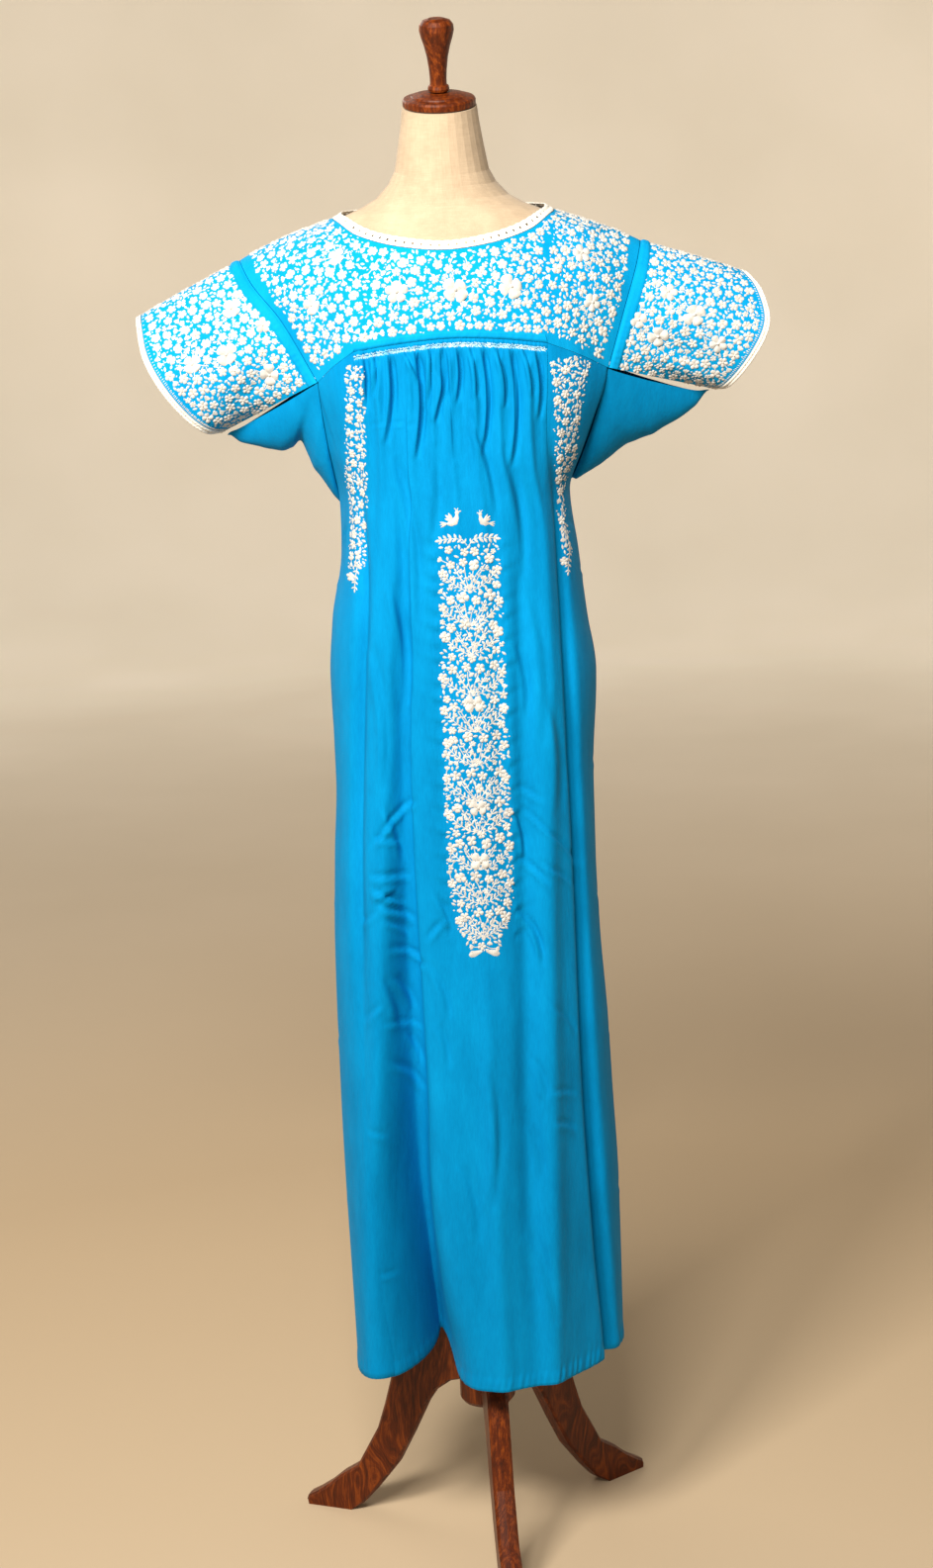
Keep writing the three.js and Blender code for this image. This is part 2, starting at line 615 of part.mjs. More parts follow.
function columnPoint(edge, phiAt, s, v, rise, gathers) {
  const top = below(edge(clamp(s, 0, 1)));
  const z = mix(top[2], HEM_Z + track(rise, s), v);
  const drop = top[2] - z;
  const free = phiAt(s, z);
  let held = Math.atan2(top[0], -top[1]);
  held += 2 * Math.PI * Math.round((free - held) / (2 * Math.PI));
  const phi = mix(free, held, 1 - smooth(drop / ALIGN_BLEND));
  const p = tube(phi, z);
  const q = tube(held, top[2]);
  const fade = 1 - smooth(drop / EDGE_BLEND);
  const out = [p[0] + (top[0] - q[0]) * fade, p[1] + (top[1] - q[1]) * fade, z];
  if (gathers) {
    const b = sectionPoint(sectionAt(z), phi);
    const h = gatherHeight(gathers, s, drop);
    out[0] += b.nx * h;
    out[1] += b.ny * h;
  }
  return out;
}

const frontPanel = (s, v) => columnPoint(
  (t) => curve(FRONT_BOTTOM, t),
  (t, z) => mix(frontSeam('left', z), frontSeam('right', z), t), s, v, HEM_RISE.front, GATHERS_FRONT);
const backPanel = (s, v) => columnPoint(
  (t) => curve(BACK_BOTTOM, t),
  (t, z) => mix(backSeam('right', z), backSeam('left', z) + 2 * Math.PI, t), s, v, HEM_RISE.back, GATHERS_BACK);
const sidePanel = (side) => (s, v) => {
  const c = side === 'right' ? R : L;
  return columnPoint(
    (t) => notchEdge(c, t),
    (t, z) => mix(frontSeam(side, z), backSeam(side, z), t), s, v, HEM_RISE[side]);
};

// ---------------------------------------------------------------- sleeves and gussets
const CUFF_RIGHT = [
  [0, 296, -1.6, 1388], [0.13, 310, -36, 1396], [0.26, 336, -56, 1430], [0.36, 352, -52, 1465],
  [0.44, 346, -30, 1499], [0.5, 332, 0, 1519], [0.56, 345, 30, 1500], [0.64, 350, 50, 1466],
  [0.74, 334, 54, 1431], [0.87, 309, 35, 1397], [1, 296, 1.6, 1388],
];
const CUFF_LEFT = [
  [0, -256, 1.6, 1361], [0.13, -272, 37, 1368], [0.25, -294, 53, 1388], [0.37, -318, 57, 1423],
  [0.44, -335, 40, 1456], [0.5, -344, 0, 1494], [0.56, -337, -42, 1456], [0.63, -320, -60, 1422],
  [0.75, -294, -55, 1386], [0.87, -272, -39, 1366], [1, -256, -1.6, 1361],
];
// sleeve creases: place round the sleeve, depth, half width, where along the sleeve it is deepest
const CREASES_RIGHT = [
  [0.17, 5, 0.05, 0.55],
  [0.33, -3, 0.05, 0.45],
  [0.44, 3, 0.035, 0.6],
  [0.70, 4, 0.05, 0.5],
  [0.86, -3, 0.04, 0.5],
];
const CREASES_LEFT = [
  [0.15, 4, 0.05, 0.5],
  [0.34, -3, 0.05, 0.5],
  [0.62, 4, 0.045, 0.55],
  [0.76, -4, 0.05, 0.5],
  [0.88, 5, 0.045, 0.5],
];

const sleevePoint = (side) => (u, v) => {
  const right = side === 'right';
  const a = curve(right ? SEAM_RIGHT : SEAM_LEFT, u);
  const b = curve(right ? CUFF_RIGHT : CUFF_LEFT, u);
  const along = unit(sub(b, a));
  const start = add(a, along, SLEEVE_GAP);
  const p = lerp3(start, b, v);
  const hold = smooth(Math.min(u, 1 - u) / 0.2);
  const mid = Math.sin(Math.PI * clamp(v, 0, 1));
  let h = SLEEVE_PUFF * mid * hold;
  for (const [place, depth, half, deepest] of right ? CREASES_RIGHT : CREASES_LEFT) {
    h -= depth * Math.exp(-(((u - place) / half) ** 2)) * Math.exp(-(((v - deepest) / 0.35) ** 2)) * hold * mid;
  }
  const axis = right ? [255, 0, 1455] : [-240, 0, 1445];
  const away = unit([p[0] - mix(axis[0] - 60 * Math.sign(axis[0]), axis[0] + 60 * Math.sign(axis[0]), v),
    p[1], p[2] - axis[2] + 20]);
  return add(p, away, h);
};

// how far the gusset hangs along its middle, from the cuff at 0 to the body at 1
const GUSSET_LEFT = [[0, 6], [0.08, 22], [0.17, 32], [0.25, 38], [0.33, 40], [0.42, 33], [0.5, 20], [0.56, 30],
  [0.62, 39], [0.67, 38], [0.75, 35], [0.83, 29], [0.92, 15], [1, 0]];
const GUSSET_RIGHT = [[0, 2], [0.08, 24], [0.17, 40], [0.25, 48], [0.33, 54], [0.42, 54], [0.5, 52], [0.58, 52],
  [0.67, 49], [0.75, 42], [0.83, 32], [0.92, 18], [1, 0]];

// four sided patch: yoke corner, cuff, body and back corner, folded softly under the arm
const gussetPoint = (side) => (p, q) => {
  const right = side === 'right';
  const c = right ? R : L;
  const cuff = right ? CUFF_RIGHT : CUFF_LEFT;
  const tip = [cuff[0][1], 0, cuff[0][3]];
  const front = right ? [cuff[0][1], cuff[0][2], cuff[0][3]] : [cuff[10][1], cuff[10][2], cuff[10][3]];
  const back = right ? [cuff[10][1], cuff[10][2], cuff[10][3]] : [cuff[0][1], cuff[0][2], cuff[0][3]];
  const f = c.yoke;
  const b = c.yokeBack;
  const i = c.notch;
  const fo = lerp3(f, front, p);
  const ib = notchSide(c, 1 - p, b);
  const fi = notchSide(c, q, f);
  const ob = lerp3(back, b, q);
  const blend = lerp3(fo, ib, q);
  const other = lerp3(fi, ob, p);
  const corner = lerp3(lerp3(f, tip, p), lerp3(i, b, p), q);
  const out = add(add(blend, other), corner, -1);
  const along = clamp((1 + q - p) / 2, 0.001, 0.999);
  const across = Math.max(0, p * (1 - p) * q * (1 - q)) / (along * (1 - along)) ** 2;
  out[2] -= track(right ? GUSSET_RIGHT : GUSSET_LEFT, along) * across ** 0.6;
  return out;
};

// ---------------------------------------------------------------- the dress
function steps(count, from = 0, to = 1) {
  return Array.from({ length: count + 1 }, (_, i) => mix(from, to, i / count));
}
const EDGE = 0.0017;
const PANEL_ROWS = [0, 0.0075, 0.022, 0.045, 0.075, 0.115, 0.165, 0.225, 0.30, 0.38, 0.46, 0.54, 0.62,
  0.70, 0.78, 0.86, 0.93, 1];
// columns crowd where the deep fold and the gathers are
const FRONT_COLUMNS = [EDGE, 0.03, 0.06, 0.09, 0.12, 0.15, 0.18, 0.2, 0.22, 0.24, 0.26, 0.28, 0.3, 0.32,
  0.34, 0.36, 0.38, 0.4, 0.425, 0.45, 0.475, 0.5, 0.53, 0.56, 0.59, 0.62, 0.65, 0.68, 0.71, 0.745, 0.78,
  0.82, 0.86, 0.9, 0.93, 0.96, 0.98, 1 - EDGE];
const BACK_COLUMNS = steps(28, EDGE, 1 - EDGE);
const SIDE_COLUMNS = [EDGE, 0.04, 0.09, 0.15, 0.22, 0.29, 0.36, 0.43, 0.5, 0.57, 0.64, 0.71, 0.78, 0.85,
  0.92, 1 - EDGE];

const yokeColumns = [];
YOKE_EDGE.forEach(([, count], k) => {
  for (let i = 0; i < count; i += 1) yokeColumns.push(k + i / count);
});
const YOKE_ROWS = [0, 0.14, 0.28, 0.43, 0.6, 0.77, 0.92, 1];
const SLEEVE_COLUMNS = steps(16, 0.0, 1.0);
const SLEEVE_ROWS = [0, 0.1, 0.3, 0.5, 0.72, 1];

const dress = [];
dress.push(wallOf('yoke', yokePoint, yokeColumns, YOKE_ROWS, EMBROIDERED, { closed: true }));

const bandColumns = (first, last) => yokeColumns.filter((w) => w >= first - 1e-9 && w <= last + 1e-9);
dress.push(wallOf('yoke_band_front', yokePoint, bandColumns(0, 1), [0.92, 0.995], BLUE,
  { lift: TRIM_LIFT, wall: TRIM_WALL }));
dress.push(wallOf('yoke_band_back', yokePoint, bandColumns(4, 5), [0.92, 0.995], BLUE,
  { lift: TRIM_LIFT, wall: TRIM_WALL }));

const lacePoint = (w, v) => {
  const n = yokePoint(w, 0);
  const count = YOKE_EDGE.length;
  const turned = ((w % count) + count) % count;
  const k = Math.min(count - 1, Math.floor(turned));
  const [from, to] = yokeSpan(k);
  const top = curve(LACE_RING, mix(from, to, turned - k), true);
  const start = add(n, unit(sub(top, n)), LACE_GAP);
  return resting(lerp3(start, top, 1 - v), TRIM_WALL + REST_GAP);
};
dress.push(wallOf('neck_lace', lacePoint, yokeColumns, [0, 1], LACE, { closed: true, wall: TRIM_WALL }));

dress.push(wallOf('front_panel', frontPanel, FRONT_COLUMNS, PANEL_ROWS, BLUE));
dress.push(wallOf('back_panel', backPanel, BACK_COLUMNS, PANEL_ROWS, BLUE));
const smockRelief = (i) => (i % 2 === 0 ? 0.7 : 0);
dress.push(wallOf('smock_front', frontPanel, FRONT_COLUMNS, PANEL_ROWS.slice(0, 2), LACE,
  { lift: TRIM_LIFT, wall: TRIM_WALL, relief: smockRelief }));
dress.push(wallOf('smock_back', backPanel, BACK_COLUMNS, PANEL_ROWS.slice(0, 2), LACE,
  { lift: TRIM_LIFT, wall: TRIM_WALL, relief: smockRelief }));

for (const side of ['left', 'right']) {
  const turn = side === 'left' ? -1 : 1;
  dress.push(wallOf(`side_${side}`, sidePanel(side), SIDE_COLUMNS, PANEL_ROWS, BLUE, { side: turn }));
  const sleeve = sleevePoint(side);
  dress.push(wallOf(`sleeve_${side}`, sleeve, SLEEVE_COLUMNS, SLEEVE_ROWS, EMBROIDERED, {}));
  dress.push(wallOf(`armhole_band_${side}`, sleeve, SLEEVE_COLUMNS, [0.02, SLEEVE_ROWS[1]], BLUE,
    { lift: 2 * TRIM_LIFT, wall: TRIM_WALL }));
  const cuff = (u, v) => {
    const p = sleeve(u, 1);
    const along = unit(sub(p, sleeve(u, 0.8)));
    return add(p, along, mix(LACE_GAP, CUFF_LACE_WIDTH, v));
  };
  dress.push(wallOf(`cuff_lace_${side}`, cuff, SLEEVE_COLUMNS, [0, 1], LACE, { wall: TRIM_WALL }));
  dress.push(wallOf(`gusset_${side}`, gussetPoint(side), steps(10, 0.008, 0.988), steps(10, 0.008, 0.988), BLUE,
    { side: turn }));
}

// ---------------------------------------------------------------- dress form
function torsoRing(row) {
  const [z, half, front, back, n, forward, tilt] = row;
  const ring = [];
  for (let i = 0; i < TORSO_SIDES; i += 1) {
    const a = 2 * Math.PI * i / TORSO_SIDES;
    const depth = Math.cos(a) > 0 ? front : back;
    const r = (Math.abs(Math.sin(a) / half) ** n + Math.abs(Math.cos(a) / depth) ** n) ** (-1 / n);
    const x = r * Math.sin(a);
    const y = -r * Math.cos(a);
    ring.push([x, forward + y * Math.cos(tilt * RAD), z + y * Math.sin(tilt * RAD)]);
  }
  return ring;
}
const form = [];
form.push(solidOf('torso', TORSO.map(torsoRing), LINEN));

// turned parts: rings of [radius, height] round an axis that may lean forward
function turned(name, profile, look, sides, base, lean = 0) {
  const c = Math.cos(lean * RAD);
  const s = Math.sin(lean * RAD);
  const rings = profile.map(([r, h]) => Array.from({ length: sides }, (_, i) => {
    const a = 2 * Math.PI * i / sides;
    const x = r * Math.sin(a);
    const y = -r * Math.cos(a);
    return [base[0] + x, base[1] + y * c - h * s, base[2] + h * c + y * s];
  }));
  return solidOf(name, rings, look);
}
const LEAN = 14;
const capBase = [0, -23.6, 1709.8];
form.push(turned('neck_cap', [[38.5, 0], [40.5, 1.5], [40.5, 7], [39, 9], [31, 10.5], [30, 12], [20, 14], [12, 14.8]],
  WOOD, 32, capBase, LEAN));
const finialBase = [
  capBase[0],
  capBase[1] - 15.1 * Math.sin(LEAN * RAD),
  capBase[2] + 15.1 * Math.cos(LEAN * RAD),
];
form.push(turned('finial', [[9, 0], [11.3, 1.5], [12, 4], [11.3, 7], [9.3, 8.5], [9.2, 14], [9.8, 24], [11.6, 38],
  [14.4, 50], [17.6, 60], [19.2, 67], [18.6, 73], [15.4, 77.2], [8.5, 79.6]], WOOD, 24, finialBase, LEAN));

form.push(turned('torso_base', [[30, 0], [40, 2], [44, 8], [44, 17.7]], WOOD, 28, [0, 0, BASE_BOTTOM]));
form.push(turned('pole', [[POLE_RADIUS, 0], [POLE_RADIUS, BASE_BOTTOM - HUB_TOP - 2 * FACE_GAP]], WOOD, 20,
  [0, 0, HUB_TOP + FACE_GAP]));
form.push(turned('hub', [[20, 0], [30, 2], [HUB_RADIUS, 7], [HUB_RADIUS, 108], [31, 112], [24, 116],
  [20, HUB_TOP - HUB_BOTTOM]], WOOD, 36, [0, 0, HUB_BOTTOM]));

// leg outline: radius, height; lower edge out to the toe, then back along the upper edge
const LEG = [
  [33.8, 193], [44, 190], [64, 175], [78, 154], [99, 110], [120, 69], [151, 29], [168, 10], [185, 0],
  [215, 0], [243, 0], [247, 5], [245, 11], [233, 18], [216, 30], [199, 45], [175, 61], [145, 116], [134, 150],
  [124, 186], [114, 216], [100, 240], [82, 256], [60, 267], [33.8, 274],
];
const LEG_HALF = 12.5;
const LEG_SLICES = [[-1, 3.5], [-0.72, 0.6], [0, 0], [0.72, 0.6], [1, 3.5]];
const LEG_ANGLES = [['leg_front', 6], ['leg_right', 129], ['leg_left', -111]];

function legOf(name, degrees) {
  const n = LEG.length;
  const c = Math.cos(degrees * RAD);
  const s = Math.sin(degrees * RAD);
  const rings = LEG_SLICES.map(([w, inset]) => LEG.map(([r, z], i) => {
    const a = LEG[(i + n - 1) % n];
    const b = LEG[(i + 1) % n];
    const t = unit([b[0] - a[0], 0, b[1] - a[1]]);
    const y = w * LEG_HALF;
    const root = i === 0 || i === n - 1;
    const floor = z === 0;
    let rr = root ? Math.sqrt(LEG_ROOT ** 2 - y * y) : r - t[2] * inset;
    let zz = root ? z + (i === 0 ? inset : -inset) : z + t[0] * inset;
    if (floor) {
      rr = r;
      zz = 0;
    }
    return [rr, y, zz];
  }));
  const placed = rings.map((ring) => ring.map(([r, y, z]) => [r * s + y * c, -r * c + y * s, z]));
  return legSolid(name, placed);
}

// side faces triangulated in the plane of the outline
function legSolid(name, rings) {
  const points = [];
  const faces = [];
  const n = LEG.length;
  rings.forEach((ring) => ring.forEach((p) => points.push(p)));
  for (let r = 0; r < rings.length - 1; r += 1) {
    for (let i = 0; i < n; i += 1) {
      const k = (i + 1) % n;
      quad(faces, r * n + i, r * n + k, (r + 1) * n + k, (r + 1) * n + i);
    }
  }
  const outline = LEG.map(([r, z]) => new THREE.Vector2(r, z));
  const flat = THREE.ShapeUtils.triangulateShape(outline, []);
  const last = (rings.length - 1) * n;
  flat.forEach(([a, b, c]) => {
    faces.push([a, c, b]);
    faces.push([last + a, last + b, last + c]);
  });
  return meshOf(name, points, faces, WOOD);
}
LEG_ANGLES.forEach(([name, degrees]) => form.push(legOf(name, degrees)));

const model = new THREE.Group();
model.name = 'embroidered_dress_on_form';
[...dress, ...form].forEach((mesh) => model.add(mesh));
export default model;
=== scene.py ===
"""Looks of the embroidered dress and its dress form.

The cloth surfaces repeat the shapes of the part's source, in its own millimetres round the pole axis,
on finer grids. Embroidery, crochet, smocking and creases are laid on those grids. Meshes are made in
metres in the row frame.
"""

import math
import random

import bpy
import numpy as np
from mathutils import Matrix, Vector
from mathutils.bvhtree import BVHTree


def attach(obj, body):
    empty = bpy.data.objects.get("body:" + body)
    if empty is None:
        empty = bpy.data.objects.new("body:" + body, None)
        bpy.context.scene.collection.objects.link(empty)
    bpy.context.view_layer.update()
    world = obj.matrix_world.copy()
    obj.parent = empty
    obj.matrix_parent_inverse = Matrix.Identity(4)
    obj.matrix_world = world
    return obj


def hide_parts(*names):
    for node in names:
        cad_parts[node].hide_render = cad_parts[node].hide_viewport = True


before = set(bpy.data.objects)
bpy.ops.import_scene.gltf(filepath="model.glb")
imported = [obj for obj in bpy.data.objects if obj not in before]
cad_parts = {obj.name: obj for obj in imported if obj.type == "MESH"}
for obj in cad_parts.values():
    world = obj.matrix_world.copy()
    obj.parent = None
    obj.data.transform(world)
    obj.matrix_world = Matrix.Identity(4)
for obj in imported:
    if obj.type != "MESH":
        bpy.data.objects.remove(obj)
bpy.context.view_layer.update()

# ---------------------------------------------------------------- sizes shared with the part's source
SHIFT = np.array([-4.0, 29.4, 0.0])
HEM_Z = 245
WALL = 1.6
SEAM_GAP = 0.4
LACE_GAP = 0.6
SLEEVE_GAP = 0.6
REST_GAP = 1.6
TRIM_WALL = 1.2
CUFF_LACE_WIDTH = 7
SLEEVE_PUFF = 1
SMOCK_BAND = 9
EDGE_BLEND = 90
ALIGN_BLEND = 280
EDGE = 0.0017

SEED = 11


# ---------------------------------------------------------------- small helpers
def mix(a, b, t):
    return a + (b - a) * t


def smooth(t):
    c = np.clip(t, 0, 1)
    return c * c * (3 - 2 * c)


def unit(a):
    return a / np.maximum(np.linalg.norm(a, axis=-1, keepdims=True), 1e-12)


def track(rows, x, column=1):
    """Value at x of a table of rows, eased with monotone slopes."""
    table = np.array([(row[0], row[column]) for row in rows], float)
    if table[0, 0] > table[-1, 0]:
        table = table[::-1]
    a, y = table.T
    slope = np.diff(y) / np.diff(a)
    tangent = np.zeros(len(a))
    before, after = slope[:-1], slope[1:]
    same = before * after > 0
    total = np.where(same, before + after, 1)
    tangent[1:-1] = np.where(same, 2 * before * after / total, 0)
    x = np.clip(x, a[0], a[-1])
    i = np.clip(np.searchsorted(a, x, "right") - 1, 0, len(a) - 2)
    h = a[i + 1] - a[i]
    t = (x - a[i]) / h
    t2, t3 = t * t, t * t * t
    return (
        (2 * t3 - 3 * t2 + 1) * y[i]
        + (t3 - 2 * t2 + t) * h * tangent[i]
        + (3 * t2 - 2 * t3) * y[i + 1]
        + (t3 - t2) * h * tangent[i + 1]
    )


def curve(rows, s, closed=False):
    """Catmull-Rom points through rows (s, x, y, z); a closed one has period 1."""
    r = np.array(rows, float)
    s = np.asarray(s, float)
    if closed:
        turn = np.array([1.0, 0, 0, 0])
        s = s - np.floor(s)
        r = np.vstack([r[-1:] - turn, r, r[:2] + turn])
    else:
        r = np.vstack([r[:1], r, r[-1:]])
    i = np.clip(np.searchsorted(r[1:-1, 0], s, "right") - 1, 0, len(r) - 4) + 1
    p0, p1, p2, p3 = r[i - 1], r[i], r[i + 1], r[i + 2]
    h = (p2[..., :1] - p1[..., :1])
    t = (s[..., None] - p1[..., :1]) / h
    m1 = (p2 - p0)[..., 1:] / (p2 - p0)[..., :1]
    m2 = (p3 - p1)[..., 1:] / (p3 - p1)[..., :1]
    t2, t3 = t * t, t * t * t
    return (
        (2 * t3 - 3 * t2 + 1) * p1[..., 1:]
        + (t3 - 2 * t2 + t) * h * m1
        + (3 * t2 - 2 * t3) * p2[..., 1:]
        + (t3 - t2) * h * m2
    )


# ---------------------------------------------------------------- the dress form's torso
# z, half width, front depth, back depth, squareness, shift forward, tilt in degrees
TORSO = [
    [1709.4, 41.5, 41.5, 41.5, 2, -23.5, 14],
    [1692, 43.5, 44, 43, 2, -19.5, 13],
    [1668, 47.5, 48, 45, 2, -14, 10],
    [1641, 52.5, 53, 48, 2, -8, 7],
    [1627, 60, 56, 50, 2, -5, 5],
    [1612, 74, 60, 53, 2, -2, 3],
    [1602.5, 91, 63, 57, 2, 0, 1],
    [1596, 107, 66, 60, 2, 0, 0],
    [1589, 123, 68, 62, 2, 0, 0],
    [1579, 150, 71, 65, 2, 0, 0],
    [1569, 177, 74, 68, 2, 0, 0],
    [1558, 189, 80, 73, 2, 0, 0],
    [1540, 192, 92, 80, 2.1, 0, 0],
    [1512, 184, 101, 86, 2.2, 0, 0],
    [1480, 170, 107, 89, 2.2, 0, 0],
    [1440, 151, 109, 91, 2.3, 0, 0],
    [1400, 136, 111, 92, 2.3, 0, 0],
    [1330, 122, 111, 92, 2.3, 0, 0],
    [1260, 113, 100, 88, 2.3, 0, 0],
    [1180, 108, 88, 84, 2.3, 0, 0],
    [1100, 128, 98, 96, 2.3, 0, 0],
    [1020, 139, 106, 104, 2.3, 0, 0],
    [960, 138, 106, 102, 2.3, 0, 0],
    [925, 134, 102, 98, 2.3, 0, 0],
    [918, 126, 95, 91, 2.3, 0, 0],
]


def torso_row(z):
    """Columns of the torso's table at heights z, straight between its rows."""
    rising = np.array(TORSO[::-1], float)
    return [np.interp(z, rising[:, 0], rising[:, c]) for c in range(7)]


def torso_level(x, y, z):
    _, half, front, back, n, forward, _ = torso_row(z)
    depth = np.where(y < forward, front, back)
    return (np.abs(x / half) ** n + np.abs((y - forward) / depth) ** n) ** (1 / n) - 1


def resting(p, need):
    """Cloth points moved out until they lie on the torso, need mm clear of it."""
    q = np.array(p, float)
    h = 0.5
    for _ in range(5):
        x, y, z = q[..., 0], q[..., 1], q[..., 2]
        value = torso_level(x, y, z)
        g = np.stack(
            [
                torso_level(x + h, y, z) - torso_level(x - h, y, z),
                torso_level(x, y + h, z) - torso_level(x, y - h, z),
                torso_level(x, y, z + h) - torso_level(x, y, z - h),
            ],
            -1,
        ) / (2 * h)
        length = np.maximum(np.linalg.norm(g, axis=-1), 1e-9)
        far = value / length
        lift = np.maximum(need - far, 0)
        q += g / length[..., None] * lift[..., None]
    return q


# ---------------------------------------------------------------- the cloth tube below the yoke
# z, left half width, right half width, front depth, back depth, squareness left, right, back
SECTIONS = [
    [1500, 186, 214, 114, 94, 2.6, 2.6, 2.6],
    [1450, 174, 204, 115, 95, 2.6, 2.6, 2.6],
    [1416, 166, 198, 117, 97, 2.6, 2.6, 2.6],
    [1340, 141, 160, 121, 101, 2.5, 2.5, 2.5],
    [1280, 127, 133, 124, 105, 2.5, 2.5, 2.5],
    [1215, 131, 140, 126, 109, 2.5, 2.5, 2.5],
    [1141, 145, 148, 128, 114, 2.5, 2.5, 2.4],
    [1071, 150, 157, 130, 119, 2.5, 2.5, 2.4],
    [954, 150, 151, 133, 128, 2.6, 2.4, 2.4],
    [859, 156, 151, 136, 136, 2.8, 2.4, 2.4],
    [763, 160, 154, 138, 145, 3.0, 2.3, 2.4],
    [666, 161, 160, 141, 153, 3.1, 2.3, 2.4],
    [568, 161, 164, 143, 162, 3.2, 2.2, 2.4],
    [468, 160, 168, 145, 171, 3.3, 2.2, 2.4],
    [367, 158, 169, 147, 180, 3.4, 2.1, 2.4],
    [245, 156, 169, 149, 190, 3.5, 2.1, 2.4],
]
# where, "x" on the front or "deg" round the tube, then depth, half width and squareness of each fold
FOLDS = {
    "deep_left": ("x", 3,
                  [(1300, -56), (1215, -58), (955, -71), (700, -74), (600, -77), (470, -84), (365, -82),
                  (245, -77)],
                  [(1420, 0), (1300, 3), (1215, 8), (955, 21), (760, 37), (600, 58), (470, 84), (365, 110),
                   (245, 136)],
                  [(1300, 9), (955, 15), (700, 24), (470, 34), (365, 39), (245, 47)]),
    "seam_left": ("x", 2, [(1440, -105), (1215, -104), (1045, -116), (860, -126), (690, -128), (245, -128)],
                  [(1440, 0), (1300, 3), (1215, 7), (1045, 9), (860, 8), (690, 2), (600, 0)],
                  [(1440, 7), (860, 9)]),
    "seam_right": ("x", 2,
                   [(1440, 108), (1215, 118), (1140, 121), (860, 129), (620, 135), (390, 146), (245, 153)],
                   [(1440, 0), (1300, 4), (1215, 8), (1140, 10), (860, 14), (620, 18), (390, 24), (245, 28)],
                   [(1440, 7), (860, 8), (245, 9)]),
    "flank_right": ("x", 2, [(1440, 95), (245, 124)],
                    [(1100, 0), (860, 2), (620, 5), (245, 9)], [(1100, 30), (245, 38)]),
    "strip_side": ("x", 2, [(1400, 40), (1000, 42), (700, 44)],
                   [(1380, 0), (1200, 3), (1000, 4), (760, 2), (600, 0)], [(1400, 9), (700, 12)]),
    "valley_right": ("x", 2, [(1400, 72), (1215, 71), (860, 66), (470, 60), (245, 62)],
                     [(1380, 0), (1215, 5), (860, 9), (470, 10), (300, 5), (245, 3)],
                     [(1400, 10), (860, 14), (245, 17)]),
    "ridge_right": ("x", 2, [(1400, 100), (1215, 100), (860, 93), (470, 86), (245, 80)],
                    [(1380, 0), (1215, -3), (860, -5), (470, -6), (245, -5)],
                    [(1400, 10), (860, 13), (245, 15)]),
    "ridge_low": ("x", 2, [(800, 16), (245, 20)], [(800, 0), (620, -4), (400, -6), (245, -5)],
                  [(800, 9), (245, 13)]),
    "left_lobe": ("x", 2, [(1000, -100), (245, -118)], [(1000, 0), (600, -3), (400, -4), (245, 0)],
                  [(1000, 12), (245, 16)]),
    "hollow_left": ("x", 2, [(1100, -24), (900, -22), (700, -18)],
                    [(1200, 0), (1000, 3), (860, 3), (700, 0)], [(1100, 10), (700, 12)]),
    "side_left_a": ("deg", 2, [(1200, -82), (600, -84), (245, -80)],
                    [(1150, 0), (900, 5), (600, 10), (245, 15)], [(1200, 10), (245, 16)]),
    "side_left_b": ("deg", 2, [(1200, -106), (245, -110)],
                    [(1200, 0), (1000, 4), (700, 12), (245, 22)], [(1200, 10), (245, 17)]),
    "side_right_a": ("deg", 2, [(1200, 86), (600, 90), (245, 92)],
                     [(1150, 0), (900, 4), (600, 8), (245, 14)], [(1200, 10), (245, 15)]),
    "side_right_b": ("deg", 2, [(1200, 112), (245, 108)],
                     [(1200, 0), (1000, 5), (700, 13), (245, 24)], [(1200, 9), (245, 16)]),
    "back_seam_right": ("deg", 2, [(1440, 134), (245, 134)],
                        [(1440, 0), (1250, 5), (900, 9), (500, 16), (245, 22)], [(1440, 8), (245, 11)]),
    "back_seam_left": ("deg", 2, [(1440, -134), (245, -136)],
                       [(1440, 0), (1250, 6), (900, 11), (500, 15), (245, 19)], [(1440, 8), (245, 11)]),
    "back_a": ("deg", 2.3, [(1400, 157), (245, 153)],
               [(1300, 0), (1100, 5), (800, 18), (500, 36), (245, 52)], [(1400, 11), (800, 17), (245, 22)]),
    "back_b": ("deg", 2, [(1400, 185), (245, 179)],
               [(1350, 0), (1150, 4), (800, 11), (500, 20), (245, 29)], [(1400, 10), (245, 17)]),
    "back_c": ("deg", 2.3, [(1400, -157), (245, -159)],
               [(1250, 0), (1000, 6), (700, 22), (500, 34), (245, 44)], [(1400, 10), (245, 20)]),
}
# place along the panel 0..1, height of the ridge, half width, length
GATHERS_FRONT = [
    (0.05, 2.5, 0.018, 90), (0.12, 5.2, 0.024, 150), (0.21, -3.0, 0.018, 90), (0.29, 4.8, 0.021, 165),
    (0.345, -3.8, 0.014, 85), (0.40, 4.2, 0.019, 120), (0.45, -2.6, 0.013, 80), (0.495, 4.6, 0.020, 150),
    (0.555, -2.8, 0.015, 95), (0.62, 5.0, 0.022, 175), (0.68, -2.6, 0.015, 90), (0.745, 4.6, 0.021, 135),
    (0.82, -3.2, 0.017, 100), (0.90, 5.2, 0.023, 170), (0.96, -2.0, 0.014, 80),
]
GATHERS_BACK = [
    (0.06, 3.0, 0.022, 110), (0.15, 5.0, 0.024, 160), (0.24, -3.0, 0.018, 90), (0.32, 5.2, 0.024, 150),
    (0.41, -2.6, 0.017, 110), (0.48, 4.4, 0.022, 130), (0.57, 5.0, 0.022, 175), (0.65, -3.2, 0.018, 100),
    (0.73, 4.8, 0.024, 140), (0.83, 4.4, 0.022, 155), (0.93, 3.6, 0.022, 110),
]


